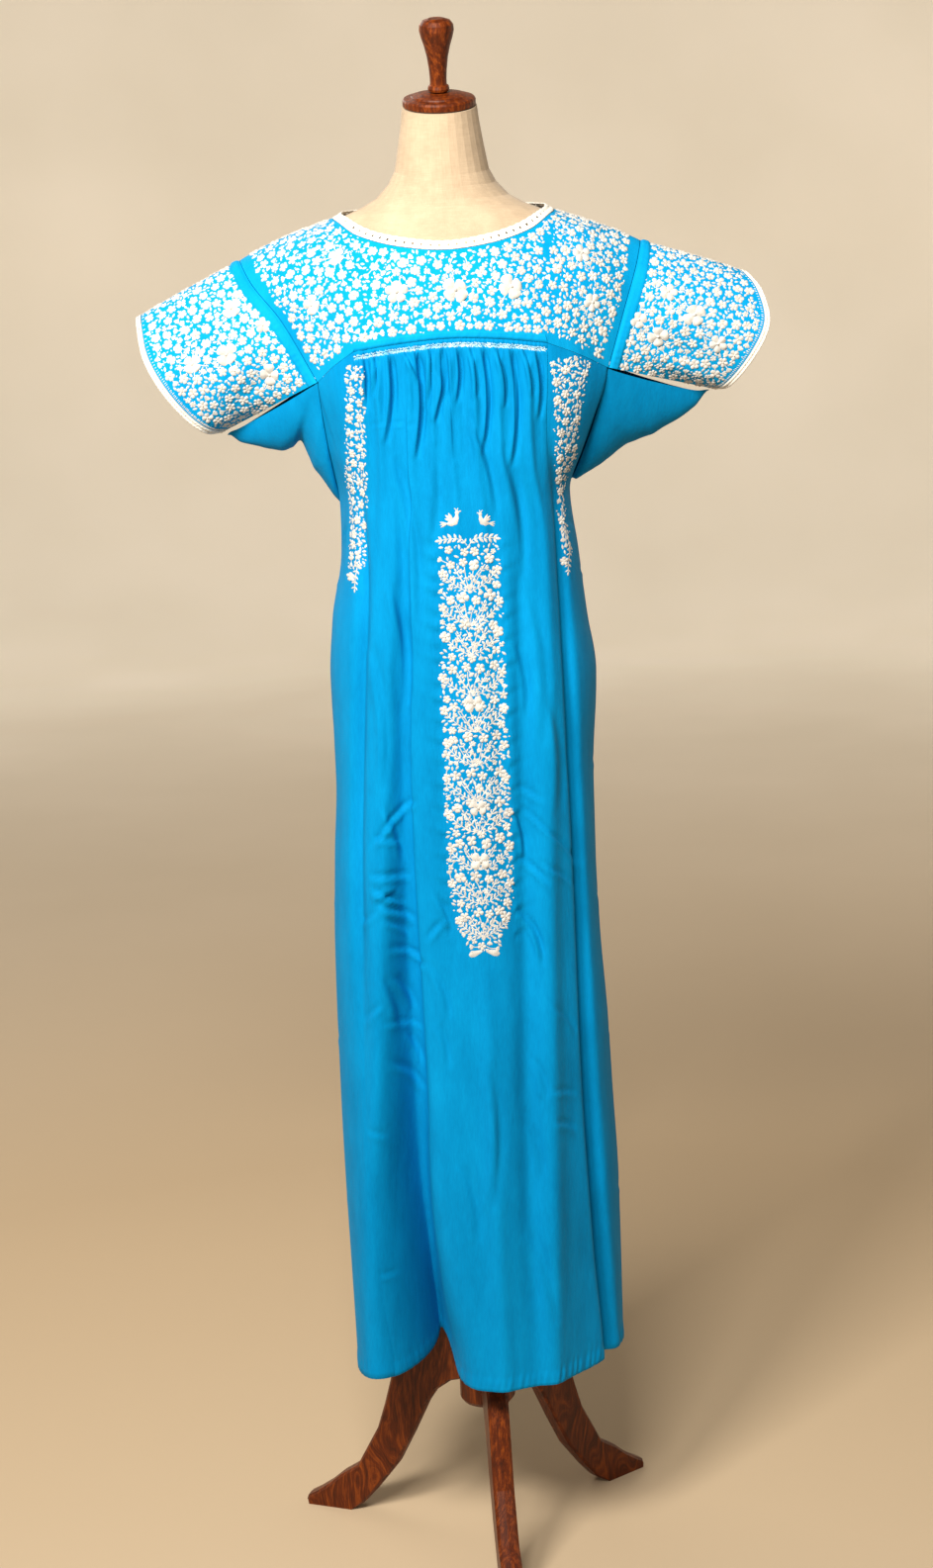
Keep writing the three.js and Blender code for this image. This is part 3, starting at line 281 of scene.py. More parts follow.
def section_at(z):
    return [track(SECTIONS, z, c) for c in range(1, 8)]


def section_point(s, phi):
    """Point and outward normal of the plain section at angle phi, 0 in front."""
    left, right, front, back, n_left, n_right, n_back = s
    sx, cy = np.sin(phi), np.cos(phi)
    half = np.where(sx < 0, left, right)
    depth = np.where(cy > 0, front, back)
    n = np.where(cy > 0, np.where(sx < 0, n_left, n_right), n_back)
    r = (np.abs(sx / half) ** n + np.abs(cy / depth) ** n) ** (-1 / n)
    x, y = r * sx, -r * cy
    nx = np.sign(sx) * np.abs(x) ** (n - 1) / half**n
    ny = -np.sign(cy) * np.abs(y) ** (n - 1) / depth**n
    length = np.maximum(np.hypot(nx, ny), 1e-12)
    return x, y, nx / length, ny / length


def front_angle(s, x):
    """Angle of the front's point at this x."""
    half = np.where(x < 0, s[0], s[1])
    n = np.where(x < 0, s[4], s[5])
    q = np.clip(np.abs(x) / half, 0, 0.995)
    return np.arctan2(x, s[2] * (1 - q**n) ** (1 / n))


# every table read once at each millimetre of height
LEVELS = np.arange(HEM_Z - 5, 1501.0)
LEVEL_SECTIONS = section_at(LEVELS)
LEVEL_FOLDS = []
for kind, power, path, depth, half in FOLDS.values():
    place = track(path, LEVELS)
    angle = front_angle(LEVEL_SECTIONS, place) if kind == "x" else np.radians(place)
    cx, cy, _, _ = section_point(LEVEL_SECTIONS, angle)
    LEVEL_FOLDS.append((power, angle, track(depth, LEVELS), track(half, LEVELS), cx, cy))


def at_level(values, z):
    return np.interp(z, LEVELS, values)


def sections(z):
    return [at_level(column, z) for column in LEVEL_SECTIONS]


# how far the rim right of the deep fold leans over it
LIP = [(1400, 0), (1370, 2.4), (1200, 3.4), (955, 7), (700, 11), (470, 12), (245, 8)]
LEVEL_LIP = track(LIP, LEVELS)


def tube(phi, z):
    """Outer face of the tube."""
    x, y, nx, ny = section_point(sections(z), phi)
    d, lean = np.zeros_like(x), np.zeros_like(x)
    for k, (power, angle, depth, half, cx, cy) in enumerate(LEVEL_FOLDS):
        turn = phi - at_level(angle, z)
        turn -= 2 * np.pi * np.round(turn / (2 * np.pi))
        reach = np.hypot(x - at_level(cx, z), y - at_level(cy, z)) / at_level(half, z)
        d += np.where(np.abs(turn) < 1.4, at_level(depth, z) * np.exp(-(reach**power)), 0)
        if k == 0:
            lean = at_level(LEVEL_LIP, z) * np.exp(-(((reach * np.sign(turn) - 1.22) / 0.36) ** 2))
    return np.stack([x - nx * d + ny * lean, y - ny * d - nx * lean, z], -1)


# ---------------------------------------------------------------- seams and edges
LEFT = {"panel": (-104, -110, 1450), "yoke": (-146, -74, 1416), "notch": (-127, 0, 1269),
        "yoke_back": (-146, 68, 1418), "panel_back": (-104, 90, 1452)}
RIGHT = {"panel": (108, -110, 1452), "yoke": (176, -70, 1420), "notch": (133, 0, 1289),
         "yoke_back": (172, 66, 1422), "panel_back": (106, 90, 1454)}
FRONT_BOTTOM = [(0, *LEFT["panel"]), (0.25, -52, -116, 1457), (0.5, 2, -118.5, 1461),
                (0.75, 55, -116.5, 1458.5), (1, *RIGHT["panel"])]
BACK_BOTTOM = [(0, *RIGHT["panel_back"]), (0.25, 54, 97, 1459), (0.5, 1, 99, 1461), (0.75, -53, 97, 1458),
               (1, *LEFT["panel_back"])]
SEAM_RIGHT = [(0, *RIGHT["yoke"]), (0.25, 197, -57, 1486), (0.4, 212, -34, 1530), (0.5, 219, 0, 1556),
              (0.6, 211, 34, 1532), (0.75, 195, 55, 1488), (1, *RIGHT["yoke_back"])]
SEAM_LEFT = [(0, *LEFT["yoke_back"]), (0.25, -184, 54, 1486), (0.4, -216, 33, 1526), (0.5, -230, 0, 1550),
             (0.6, -216, -34, 1524), (0.75, -184, -57, 1484), (1, *LEFT["yoke"])]
SLOPE_FRONT_RIGHT = [(0, *RIGHT["panel"]), (0.5, 144, -95, 1437), (1, *RIGHT["yoke"])]
SLOPE_BACK_RIGHT = [(0, *RIGHT["yoke_back"]), (0.5, 141, 82, 1439), (1, *RIGHT["panel_back"])]
SLOPE_BACK_LEFT = [(0, *LEFT["panel_back"]), (0.5, -127, 82, 1436), (1, *LEFT["yoke_back"])]
SLOPE_FRONT_LEFT = [(0, *LEFT["yoke"]), (0.5, -127, -97, 1434), (1, *LEFT["panel"])]
# stretches of the yoke's outline, each with its start on the neck ring
YOKE_EDGE = [(FRONT_BOTTOM, -0.085), (SLOPE_FRONT_RIGHT, 0.085), (SEAM_RIGHT, 0.13), (SLOPE_BACK_RIGHT, 0.37),
             (BACK_BOTTOM, 0.415), (SLOPE_BACK_LEFT, 0.585), (SEAM_LEFT, 0.63), (SLOPE_FRONT_LEFT, 0.87)]
RING_PLACES = (0, 0.07, 0.13, 0.19, 0.25, 0.31, 0.37, 0.43, 0.5, 0.57, 0.63, 0.69, 0.75, 0.81, 0.87, 0.93)
NECK_RING = [(0, -95, 1555), (54, -86, 1561), (94, -65, 1573), (116, -35, 1586), (124, 0, 1593),
             (112, 33, 1595), (88, 53, 1595), (53, 67, 1594), (0, 72, 1593), (-53, 67, 1593),
             (-88, 53, 1594), (-112, 33, 1594), (-124, 0, 1592), (-116, -36, 1586), (-95, -65, 1573),
             (-55, -86, 1561)]
MIDDLE_RING = [(0, -111, 1508), (74, -106, 1509), (136, -84, 1508), (166, -55, 1546), (181, 0, 1573),
               (164, 50, 1550), (132, 74, 1512), (72, 91, 1512), (0, 96, 1513), (-72, 91, 1512),
               (-128, 74, 1510), (-164, 50, 1547), (-184, 0, 1572), (-166, -58, 1547), (-131, -85, 1507),
               (-74, -105, 1508)]
LACE_RING = [(0, -89.5, 1565), (49, -80, 1571), (87, -57, 1582), (107, -29, 1593), (114, 0, 1599.5),
             (102, 30, 1601), (80, 48, 1602), (48, 61, 1602), (0, 66, 1602), (-48, 61, 1602), (-80, 48, 1601),
             (-102, 30, 1600), (-114, 0, 1598.5), (-107, -29, 1592), (-88, -57, 1581), (-50, -80, 1571)]


def ring(points, place):
    return curve([(a, *p) for a, p in zip(RING_PLACES, points)], place, closed=True)


def yoke_place(w):
    """Stretch number, place along it and place on the neck ring of yoke column w."""
    count = len(YOKE_EDGE)
    turned = np.mod(w, count)
    k = np.minimum(count - 1, np.floor(turned).astype(int))
    starts = np.array([start for _, start in YOKE_EDGE] + [YOKE_EDGE[0][1] + 1])
    s = turned - k
    return k, s, mix(starts[k], starts[k + 1], s)


def yoke_point(w, v):
    """Outer face of the yoke: neck at v = 0, lower edge at v = 1."""
    k, s, place = yoke_place(w)
    edges = np.stack([curve(edge, s) for edge, _ in YOKE_EDGE])
    e = np.take_along_axis(edges, k[None, ..., None], 0)[0]
    a, b, c = (1 - v) * (1 - 2 * v), 4 * v * (1 - v), v * (2 * v - 1)
    p = a[..., None] * ring(NECK_RING, place) + b[..., None] * ring(MIDDLE_RING, place) + c[..., None] * e
    return resting(p, WALL + REST_GAP)


def lace_point(w, v):
    """Outer face of the neck lace: upper edge at v = 0."""
    _, _, place = yoke_place(w)
    neck = yoke_point(w, np.zeros_like(w))
    top = ring(LACE_RING, place)
    start = neck + unit(top - neck) * LACE_GAP
    return resting(start + (top - start) * (1 - v)[..., None], TRIM_WALL + REST_GAP)


# ---------------------------------------------------------------- panels of the tube
SEAM_FOLD = {"left": 1, "right": 2}
NOTCH_F, NOTCH_I, NOTCH_B, NOTCH_STEPS = 0.22, 0.5, 0.78, 4


def front_seam(side, z):
    return at_level(LEVEL_FOLDS[SEAM_FOLD[side]][1], z)


def back_seam(side, z):
    return np.full_like(z, np.radians(134 if side == "right" else -134))


def notch_side(c, t, corner):
    """Line from a yoke corner down to the end of the notch, following the body."""
    corner, notch = np.array(corner, float), np.array(c["notch"], float)

    def at(k):
        bow = np.sin(np.pi * k)[..., None]
        lean = np.array([np.sign(notch[0]) * 2.4, np.sign(corner[1]) * 7, 0])
        return corner + (notch - corner) * k[..., None] + lean * bow

    i = np.clip(np.floor(t * NOTCH_STEPS), 0, NOTCH_STEPS - 1)
    return mix(at(i / NOTCH_STEPS), at((i + 1) / NOTCH_STEPS), (t * NOTCH_STEPS - i)[..., None])


def notch_edge(side, s):
    right = side == "right"
    c = RIGHT if right else LEFT
    slopes = (SLOPE_FRONT_RIGHT, SLOPE_BACK_RIGHT) if right else (SLOPE_FRONT_LEFT, SLOPE_BACK_LEFT)
    front, back = s / NOTCH_F, (s - NOTCH_B) / (1 - NOTCH_B)
    parts = [
        curve(slopes[0], front if right else 1 - front),
        notch_side(c, (s - NOTCH_F) / (NOTCH_I - NOTCH_F), c["yoke"]),
        notch_side(c, (NOTCH_B - s) / (NOTCH_B - NOTCH_I), c["yoke_back"]),
        curve(slopes[1], back if right else 1 - back),
    ]
    which = (s > NOTCH_F).astype(int) + (s > NOTCH_I) + (s >= NOTCH_B)
    return np.take_along_axis(np.stack(parts), which[None, ..., None], 0)[0]


def gather_height(rows, s, drop):
    start = smooth((drop - SMOCK_BAND - 1) / 16)
    h = np.zeros_like(drop)
    for place, height, half, length in rows:
        h += height * np.exp(-(((s - place) / half) ** 2)) * start * np.exp(-((drop / length) ** 2))
    return h


# how far the hem is lifted along each panel
HEM_RISE = {
    "front": [(0, 3), (0.06, 9), (0.12, 19), (0.17, 25), (0.22, 22), (0.28, 13), (0.33, 4), (0.4, 0),
              (0.85, 0), (1, 5)],
    "left": [(0, 3), (0.3, 0)],
    "right": [(0, 5), (0.15, 9), (0.45, 0)],
    "back": [(0, 0), (1, 0)],
}


def column_point(edge, phi_at, s, v, rise, gathers=None):
    top = edge(np.clip(s, 0, 1)) - np.array([0, 0, SEAM_GAP])
    z = mix(top[..., 2], HEM_Z + track(rise, s), v)
    drop = top[..., 2] - z
    free = phi_at(s, z)
    held = np.arctan2(top[..., 0], -top[..., 1])
    held = held + 2 * np.pi * np.round((free - held) / (2 * np.pi))
    phi = mix(free, held, 1 - smooth(drop / ALIGN_BLEND))
    p = tube(phi, z)
    q = tube(held, top[..., 2])
    fade = 1 - smooth(drop / EDGE_BLEND)
    p[..., :2] += (top - q)[..., :2] * fade[..., None]
    if gathers:
        _, _, nx, ny = section_point(sections(z), phi)
        h = gather_height(gathers, s, drop)
        p[..., 0] += nx * h
        p[..., 1] += ny * h
    return p


def front_panel(s, v):
    return column_point(
        lambda t: curve(FRONT_BOTTOM, t),
        lambda t, z: mix(front_seam("left", z), front_seam("right", z), t), s, v, HEM_RISE["front"],
        GATHERS_FRONT)


def back_panel(s, v):
    return column_point(
        lambda t: curve(BACK_BOTTOM, t),
        lambda t, z: mix(back_seam("right", z), back_seam("left", z) + 2 * np.pi, t), s, v, HEM_RISE["back"],
        GATHERS_BACK)


def side_panel(side):
    return lambda s, v: column_point(
        lambda t: notch_edge(side, t),
        lambda t, z: mix(front_seam(side, z), back_seam(side, z), t), s, v, HEM_RISE[side])


# ---------------------------------------------------------------- sleeves and gussets
CUFF_RIGHT = [(0, 296, -1.6, 1388), (0.13, 310, -36, 1396), (0.26, 336, -56, 1430), (0.36, 352, -52, 1465),
              (0.44, 346, -30, 1499), (0.5, 332, 0, 1519), (0.56, 345, 30, 1500), (0.64, 350, 50, 1466),
              (0.74, 334, 54, 1431), (0.87, 309, 35, 1397), (1, 296, 1.6, 1388)]
CUFF_LEFT = [(0, -256, 1.6, 1361), (0.13, -272, 37, 1368), (0.25, -294, 53, 1388), (0.37, -318, 57, 1423),
             (0.44, -335, 40, 1456), (0.5, -344, 0, 1494), (0.56, -337, -42, 1456), (0.63, -320, -60, 1422),
             (0.75, -294, -55, 1386), (0.87, -272, -39, 1366), (1, -256, -1.6, 1361)]
# sleeve creases: place round the sleeve, depth, half width, where along the sleeve it is deepest
CREASES_RIGHT = [(0.17, 5, 0.05, 0.55), (0.33, -3, 0.05, 0.45), (0.44, 3, 0.035, 0.6), (0.70, 4, 0.05, 0.5),
                 (0.86, -3, 0.04, 0.5)]
CREASES_LEFT = [(0.15, 4, 0.05, 0.5), (0.34, -3, 0.05, 0.5), (0.62, 4, 0.045, 0.55), (0.76, -4, 0.05, 0.5),
                (0.88, 5, 0.045, 0.5)]
# how far the gussets hang along their middle, from the cuff at 0 to the body at 1
GUSSET = {
    "left": [(0, 6), (0.08, 22), (0.17, 32), (0.25, 38), (0.33, 40), (0.42, 33), (0.5, 20), (0.56, 30),
             (0.62, 39), (0.67, 38), (0.75, 35), (0.83, 29), (0.92, 15), (1, 0)],
    "right": [(0, 2), (0.08, 24), (0.17, 40), (0.25, 48), (0.33, 54), (0.42, 54), (0.5, 52), (0.58, 52),
              (0.67, 49), (0.75, 42), (0.83, 32), (0.92, 18), (1, 0)],
}


def sleeve_point(side):
    right = side == "right"
    seam, cuff = (SEAM_RIGHT, CUFF_RIGHT) if right else (SEAM_LEFT, CUFF_LEFT)
    creases = CREASES_RIGHT if right else CREASES_LEFT
    axis_x, axis_z = (255, 1455) if right else (-240, 1445)
    turn = 1 if right else -1

    def point(u, v):
        a, b = curve(seam, u), curve(cuff, u)
        start = a + unit(b - a) * SLEEVE_GAP
        p = start + (b - start) * v[..., None]
        hold = smooth(np.minimum(u, 1 - u) / 0.2)
        mid = np.sin(np.pi * np.clip(v, 0, 1))
        h = SLEEVE_PUFF * mid * hold
        for place, depth, half, deepest in creases:
            around = np.exp(-(((u - place) / half) ** 2))
            h = h - depth * around * np.exp(-(((v - deepest) / 0.35) ** 2)) * hold * mid
        centre = mix(axis_x - 60 * turn, axis_x + 60 * turn, v)
        away = unit(np.stack([p[..., 0] - centre, p[..., 1], p[..., 2] - axis_z + 20], -1))
        return p + away * h[..., None]

    return point


def gusset_point(side):
    """Four sided patch: yoke corner, cuff, body and back corner, folded softly under the arm."""
    right = side == "right"
    c = RIGHT if right else LEFT
    cuff = CUFF_RIGHT if right else CUFF_LEFT
    ends = [np.array(cuff[i][1:], float) for i in (0, -1)]
    front, back = ends if right else ends[::-1]
    tip = np.array([cuff[0][1], 0, cuff[0][3]], float)
    f, b, i = (np.array(c[k], float) for k in ("yoke", "yoke_back", "notch"))

    def point(p, q):
        pp, qq = p[..., None], q[..., None]
        fo, ob = mix(f, front, pp), mix(back, b, qq)
        ib, fi = notch_side(c, 1 - p, b), notch_side(c, q, f)
        corner = mix(mix(f, tip, pp), mix(i, b, pp), qq)
        out = mix(fo, ib, qq) + mix(fi, ob, pp) - corner
        along = np.clip((1 + q - p) / 2, 0.001, 0.999)
        across = np.maximum(0, p * (1 - p) * q * (1 - q)) / (along * (1 - along)) ** 2
        out[..., 2] -= track(GUSSET[side], along) * across**0.6
        return out

    return point


# ---------------------------------------------------------------- cloth grids
class Cloth:
    """A sheet as a grid of points with outward normals, in mm."""

    def __init__(self, function, us, vs, turn=1, closed=False):
        self.closed = closed
        self.turn = turn
        self.u, self.v = np.meshgrid(us, vs, indexing="ij")
        self.p = function(self.u, self.v)
        self.settle()

    def settle(self):
        """Normals and lengths along the grid, from its points."""
        p = self.p
        if self.closed:
            wide = np.concatenate([p[-1:], p, p[:1]])
            du = (wide[2:] - wide[:-2]) / 2
        else:
            du = np.gradient(p, axis=0)
        self.du, self.dv = du, np.gradient(p, axis=1)
        self.n = unit(-np.cross(self.du, self.dv)) * self.turn

    def push(self, height):
        """Moves the cloth along its normals."""
        self.p = self.p + self.n * height[..., None]
        self.settle()

    def lengths(self):
        """Distance along u and v of each point, for the weave."""
        a = np.linalg.norm(np.diff(self.p, axis=0), axis=-1)
        b = np.linalg.norm(np.diff(self.p, axis=1), axis=-1)
        across = np.zeros(self.p.shape[:2])
        down = np.zeros(self.p.shape[:2])
        across[1:] = np.cumsum(a, 0)
        down[:, 1:] = np.cumsum(b, 1)
        return across, down

    def at(self, a, b):
        """Point and normal at places a, b of the grid, in its own steps."""
        nu, nv = self.p.shape[:2]
        if self.closed:
            a = np.mod(a, nu)
        else:
            a = np.clip(a, 0, nu - 1.001)
        b = np.clip(b, 0, nv - 1.001)
        i, j = np.floor(a).astype(int), np.floor(b).astype(int)
        k = (i + 1) % nu
        fa, fb = (a - i)[..., None], (b - j)[..., None]

        def blend(g):
            return mix(mix(g[i, j], g[k, j], fa), mix(g[i, j + 1], g[k, j + 1], fa), fb)

        return blend(self.p), unit(blend(self.n))


def steps(count, start=0.0, end=1.0):
    return np.linspace(start, end, count + 1)


def metres(points):
    return (points + SHIFT) * 0.001


def mesh_object(name, points, faces, material, uv=None):
    """points in mm, faces as an array of triangles or quads or a list of them."""
    mesh = bpy.data.meshes.new(name)
    groups = faces if isinstance(faces, list) else [faces]
    loops = np.concatenate([g.ravel() for g in groups]).astype(np.int32)
    totals = np.concatenate([np.full(len(g), g.shape[1]) for g in groups]).astype(np.int32)
    mesh.vertices.add(len(points))
    mesh.vertices.foreach_set("co", metres(points).astype(np.float32).ravel())
    mesh.loops.add(len(loops))
    mesh.loops.foreach_set("vertex_index", loops)
    mesh.polygons.add(len(totals))
    starts = np.concatenate([[0], np.cumsum(totals)[:-1]]).astype(np.int32)
    mesh.polygons.foreach_set("loop_start", starts)
    mesh.polygons.foreach_set("loop_total", totals)
    mesh.polygons.foreach_set("use_smooth", np.ones(len(totals), bool))
    mesh.update(calc_edges=True)
    if uv is not None:
        layer = mesh.uv_layers.new(name="weave")
        layer.data.foreach_set("uv", uv[loops].astype(np.float32).ravel())
    mesh.materials.append(material)
    obj = bpy.data.objects.new(name, mesh)
    bpy.context.scene.collection.objects.link(obj)
    return obj


def grid_faces(nu, nv, closed=False, flip=False):
    spans = nu if closed else nu - 1
    i, j = np.meshgrid(np.arange(spans), np.arange(nv - 1), indexing="ij")
    k = (i + 1) % nu
    quads = np.stack([i * nv + j, k * nv + j, k * nv + j + 1, i * nv + j + 1], -1).reshape(-1, 4)
    return quads[:, ::-1] if flip else quads


def cloth_object(name, cloth, material):
    nu, nv = cloth.p.shape[:2]
    across, down = cloth.lengths()
    uv = np.stack([across, down], -1).reshape(-1, 2) * 0.001
    faces = grid_faces(nu, nv, cloth.closed, flip=cloth.turn > 0)
    return mesh_object(name, cloth.p.reshape(-1, 3), faces, material, uv)


# ---------------------------------------------------------------- materials
def rgb(text):
    """Linear colour of an sRGB hex text."""
    parts = [int(text[i : i + 2], 16) / 255 for i in (0, 2, 4)]
    return tuple(((c + 0.055) / 1.055) ** 2.4 if c > 0.04045 else c / 12.92 for c in parts) + (1,)


class Nodes:
    """A material's nodes, made by short calls."""

    def __init__(self, name):
        self.material = bpy.data.materials.new(name)
        self.material.use_nodes = True
        self.tree = self.material.node_tree
        self.shader = self.tree.nodes["Principled BSDF"]

    def add(self, kind, inputs=None, **settings):
        node = self.tree.nodes.new(kind)
        for key, value in settings.items():
            setattr(node, key, value)
        for key, value in (inputs or {}).items():
            if isinstance(value, bpy.types.NodeSocket):
                self.tree.links.new(value, node.inputs[key])
            else:
                node.inputs[key].default_value = value
        return node

    def set(self, **values):
        for key, value in values.items():
            socket = self.shader.inputs[key.replace("_", " ")]
            if isinstance(value, bpy.types.NodeSocket):
                self.tree.links.new(value, socket)
            else:
                socket.default_value = value

    def noise(self, vector, scale, detail=2.0, roughness=0.5):
        return self.add("ShaderNodeTexNoise", {"Vector": vector, "Scale": scale, "Detail": detail,
                                               "Roughness": roughness}).outputs["Fac"]

    def scaled(self, vector, scale):
        return self.add("ShaderNodeMapping", {"Vector": vector, "Scale": scale}).outputs["Vector"]

    def ramp(self, value, stops):
        node = self.add("ShaderNodeValToRGB", {"Fac": value})
        ramp = node.color_ramp
        ramp.elements[0].position, ramp.elements[0].color = stops[0]
        ramp.elements[1].position, ramp.elements[1].color = stops[-1]
        for place, colour in stops[1:-1]:
            ramp.elements.new(place).color = colour
        return node.outputs["Color"]

    def maths(self, operation, a, b=0.0):
        node = self.add("ShaderNodeMath", operation=operation)
        for socket, value in zip(node.inputs, (a, b)):
            if isinstance(value, bpy.types.NodeSocket):
                self.tree.links.new(value, socket)
            else:
                socket.default_value = value
        return node.outputs[0]

    def bump(self, height, strength, distance, normal=None):
        inputs = {"Height": height, "Strength": strength, "Distance": distance}
        if normal:
            inputs["Normal"] = normal
        return self.add("ShaderNodeBump", inputs).outputs["Normal"]

    def threads(self, pitch):
        """Height of a plain weave of this thread pitch in metres, from the piece's own lengths."""
        uv = self.add("ShaderNodeUVMap", uv_map="weave").outputs["UV"]
        parts = self.add("ShaderNodeSeparateXYZ", {"Vector": uv})
        turns = 2 * math.pi / pitch
        warp = self.maths("SINE", self.maths("MULTIPLY", parts.outputs["X"], turns))
        weft = self.maths("SINE", self.maths("MULTIPLY", parts.outputs["Y"], turns))
        return self.maths("MULTIPLY", warp, weft)


def cotton(name, deep, main, light, crinkle):
    m = Nodes(name)
    place = m.add("ShaderNodeTexCoord").outputs["Object"]
    soft = m.noise(m.scaled(place, (9, 9, 3)), 1.0, 3)
    fade = m.noise(m.scaled(place, (60, 60, 16)), 1.0, 4, 0.6)
    both = m.maths("ADD", m.maths("MULTIPLY", soft, 0.55), m.maths("MULTIPLY", fade, 0.45))
    slub = m.noise(m.scaled(place, (900, 900, 90)), 1.0, 1)
    tone = m.maths("ADD", m.maths("MULTIPLY", both, 0.8), m.maths("MULTIPLY", slub, 0.2))
    colour = m.ramp(tone, [(0.3, rgb(deep)), (0.5, rgb(main)), (0.72, rgb(light))])
    waves = m.noise(m.scaled(place, (150, 150, 34)), 1.0, 3, 0.55)
    small = m.noise(m.scaled(place, (420, 420, 160)), 1.0, 2, 0.5)
    rough = m.bump(m.maths("ADD", waves, m.maths("MULTIPLY", small, 0.35)), crinkle, 0.0022)
    m.set(Base_Color=colour, Normal=m.bump(m.threads(0.0007), 0.18, 0.0002, rough), Roughness=0.7,
          Sheen_Weight=0.08, Sheen_Roughness=0.35, Specular_IOR_Level=0.16)
    m.shader.inputs["Sheen Tint"].default_value = rgb("2fb4ee")
    m.shader.inputs["Specular Tint"].default_value = rgb("58c4f2")
    return m.material


def thread(name, dark, light, pitch, strength):
    m = Nodes(name)
    place = m.add("ShaderNodeTexCoord").outputs["Object"]
    tone = m.noise(place, 160, 2)
    colour = m.ramp(tone, [(0.3, rgb(dark)), (0.7, rgb(light))])
    uv = m.add("ShaderNodeUVMap", uv_map="weave").outputs["UV"]
    across = m.add("ShaderNodeSeparateXYZ", {"Vector": uv}).outputs["X"]
    strands = m.maths("SINE", m.maths("MULTIPLY", across, 2 * math.pi / pitch))
    fuzz = m.noise(place, 1500, 1)
    height = m.maths("ADD", strands, fuzz)
    m.set(Base_Color=colour, Normal=m.bump(height, strength, 0.0002), Roughness=0.72, Sheen_Weight=0.2,
          Specular_IOR_Level=0.3)
    return m.material


def linen_cover(name):
    m = Nodes(name)
    place = m.add("ShaderNodeTexCoord").outputs["Object"]
    tone = m.noise(m.scaled(place, (30, 30, 30)), 1.0, 4, 0.6)
    across = m.noise(m.scaled(place, (70, 70, 1500)), 1.0, 2)
    along = m.noise(m.scaled(place, (1500, 1500, 70)), 1.0, 2)
    cloth = m.maths("ADD", m.maths("MULTIPLY", across, 0.5), m.maths("MULTIPLY", along, 0.5))
    both = m.maths("ADD", m.maths("MULTIPLY", tone, 0.5), m.maths("MULTIPLY", cloth, 0.5))
    colour = m.ramp(both, [(0.35, rgb("a6937b")), (0.62, rgb("bfab91"))])
    m.set(Base_Color=colour, Normal=m.bump(cloth, 0.3, 0.0006), Roughness=0.88, Sheen_Weight=0.1,
          Specular_IOR_Level=0.25)
    return m.material


def varnished(name):
    m = Nodes(name)
    place = m.add("ShaderNodeTexCoord").outputs["Object"]
    bent = m.noise(m.scaled(place, (14, 14, 6)), 1.0, 2)
    grain = m.noise(m.scaled(place, (190, 190, 22)), m.maths("ADD", bent, 0.6), 5, 0.65)
    pores = m.noise(m.scaled(place, (1300, 1300, 60)), 1.0, 1)
    tone = m.maths("ADD", m.maths("MULTIPLY", grain, 0.8), m.maths("MULTIPLY", pores, 0.2))
    colour = m.ramp(tone, [(0.3, rgb("240c02")), (0.5, rgb("542006")), (0.7, rgb("8a420f"))])
    m.set(Base_Color=colour, Normal=m.bump(grain, 0.06, 0.0008), Roughness=0.45, Coat_Weight=0.12,
          Coat_Roughness=0.16, Specular_IOR_Level=0.2)
    return m.material


COTTON = cotton("cotton_blue", "026fa6", "037fba", "058ecb", 0.22)
# the same blue cotton made lighter for the yoke, sleeves and bands: painted light, for their brighter
# lighting
COTTON_PAINTED_LIT = cotton("cotton_blue_painted_lit", "0480b8", "0690ca", "0a9dd8", 0.12)
SATIN = thread("thread_white", "b6b4b0", "d4d2cd", 0.0006, 0.4)
CROCHET = thread("thread_crochet", "dedad0", "f4f1ea", 0.0009, 0.5)
PALE = thread("thread_pale_blue", "62b4dc", "cfe6ee", 0.0006, 0.4)
LINEN = linen_cover("linen_cream")
WOOD = varnished("wood_varnished")

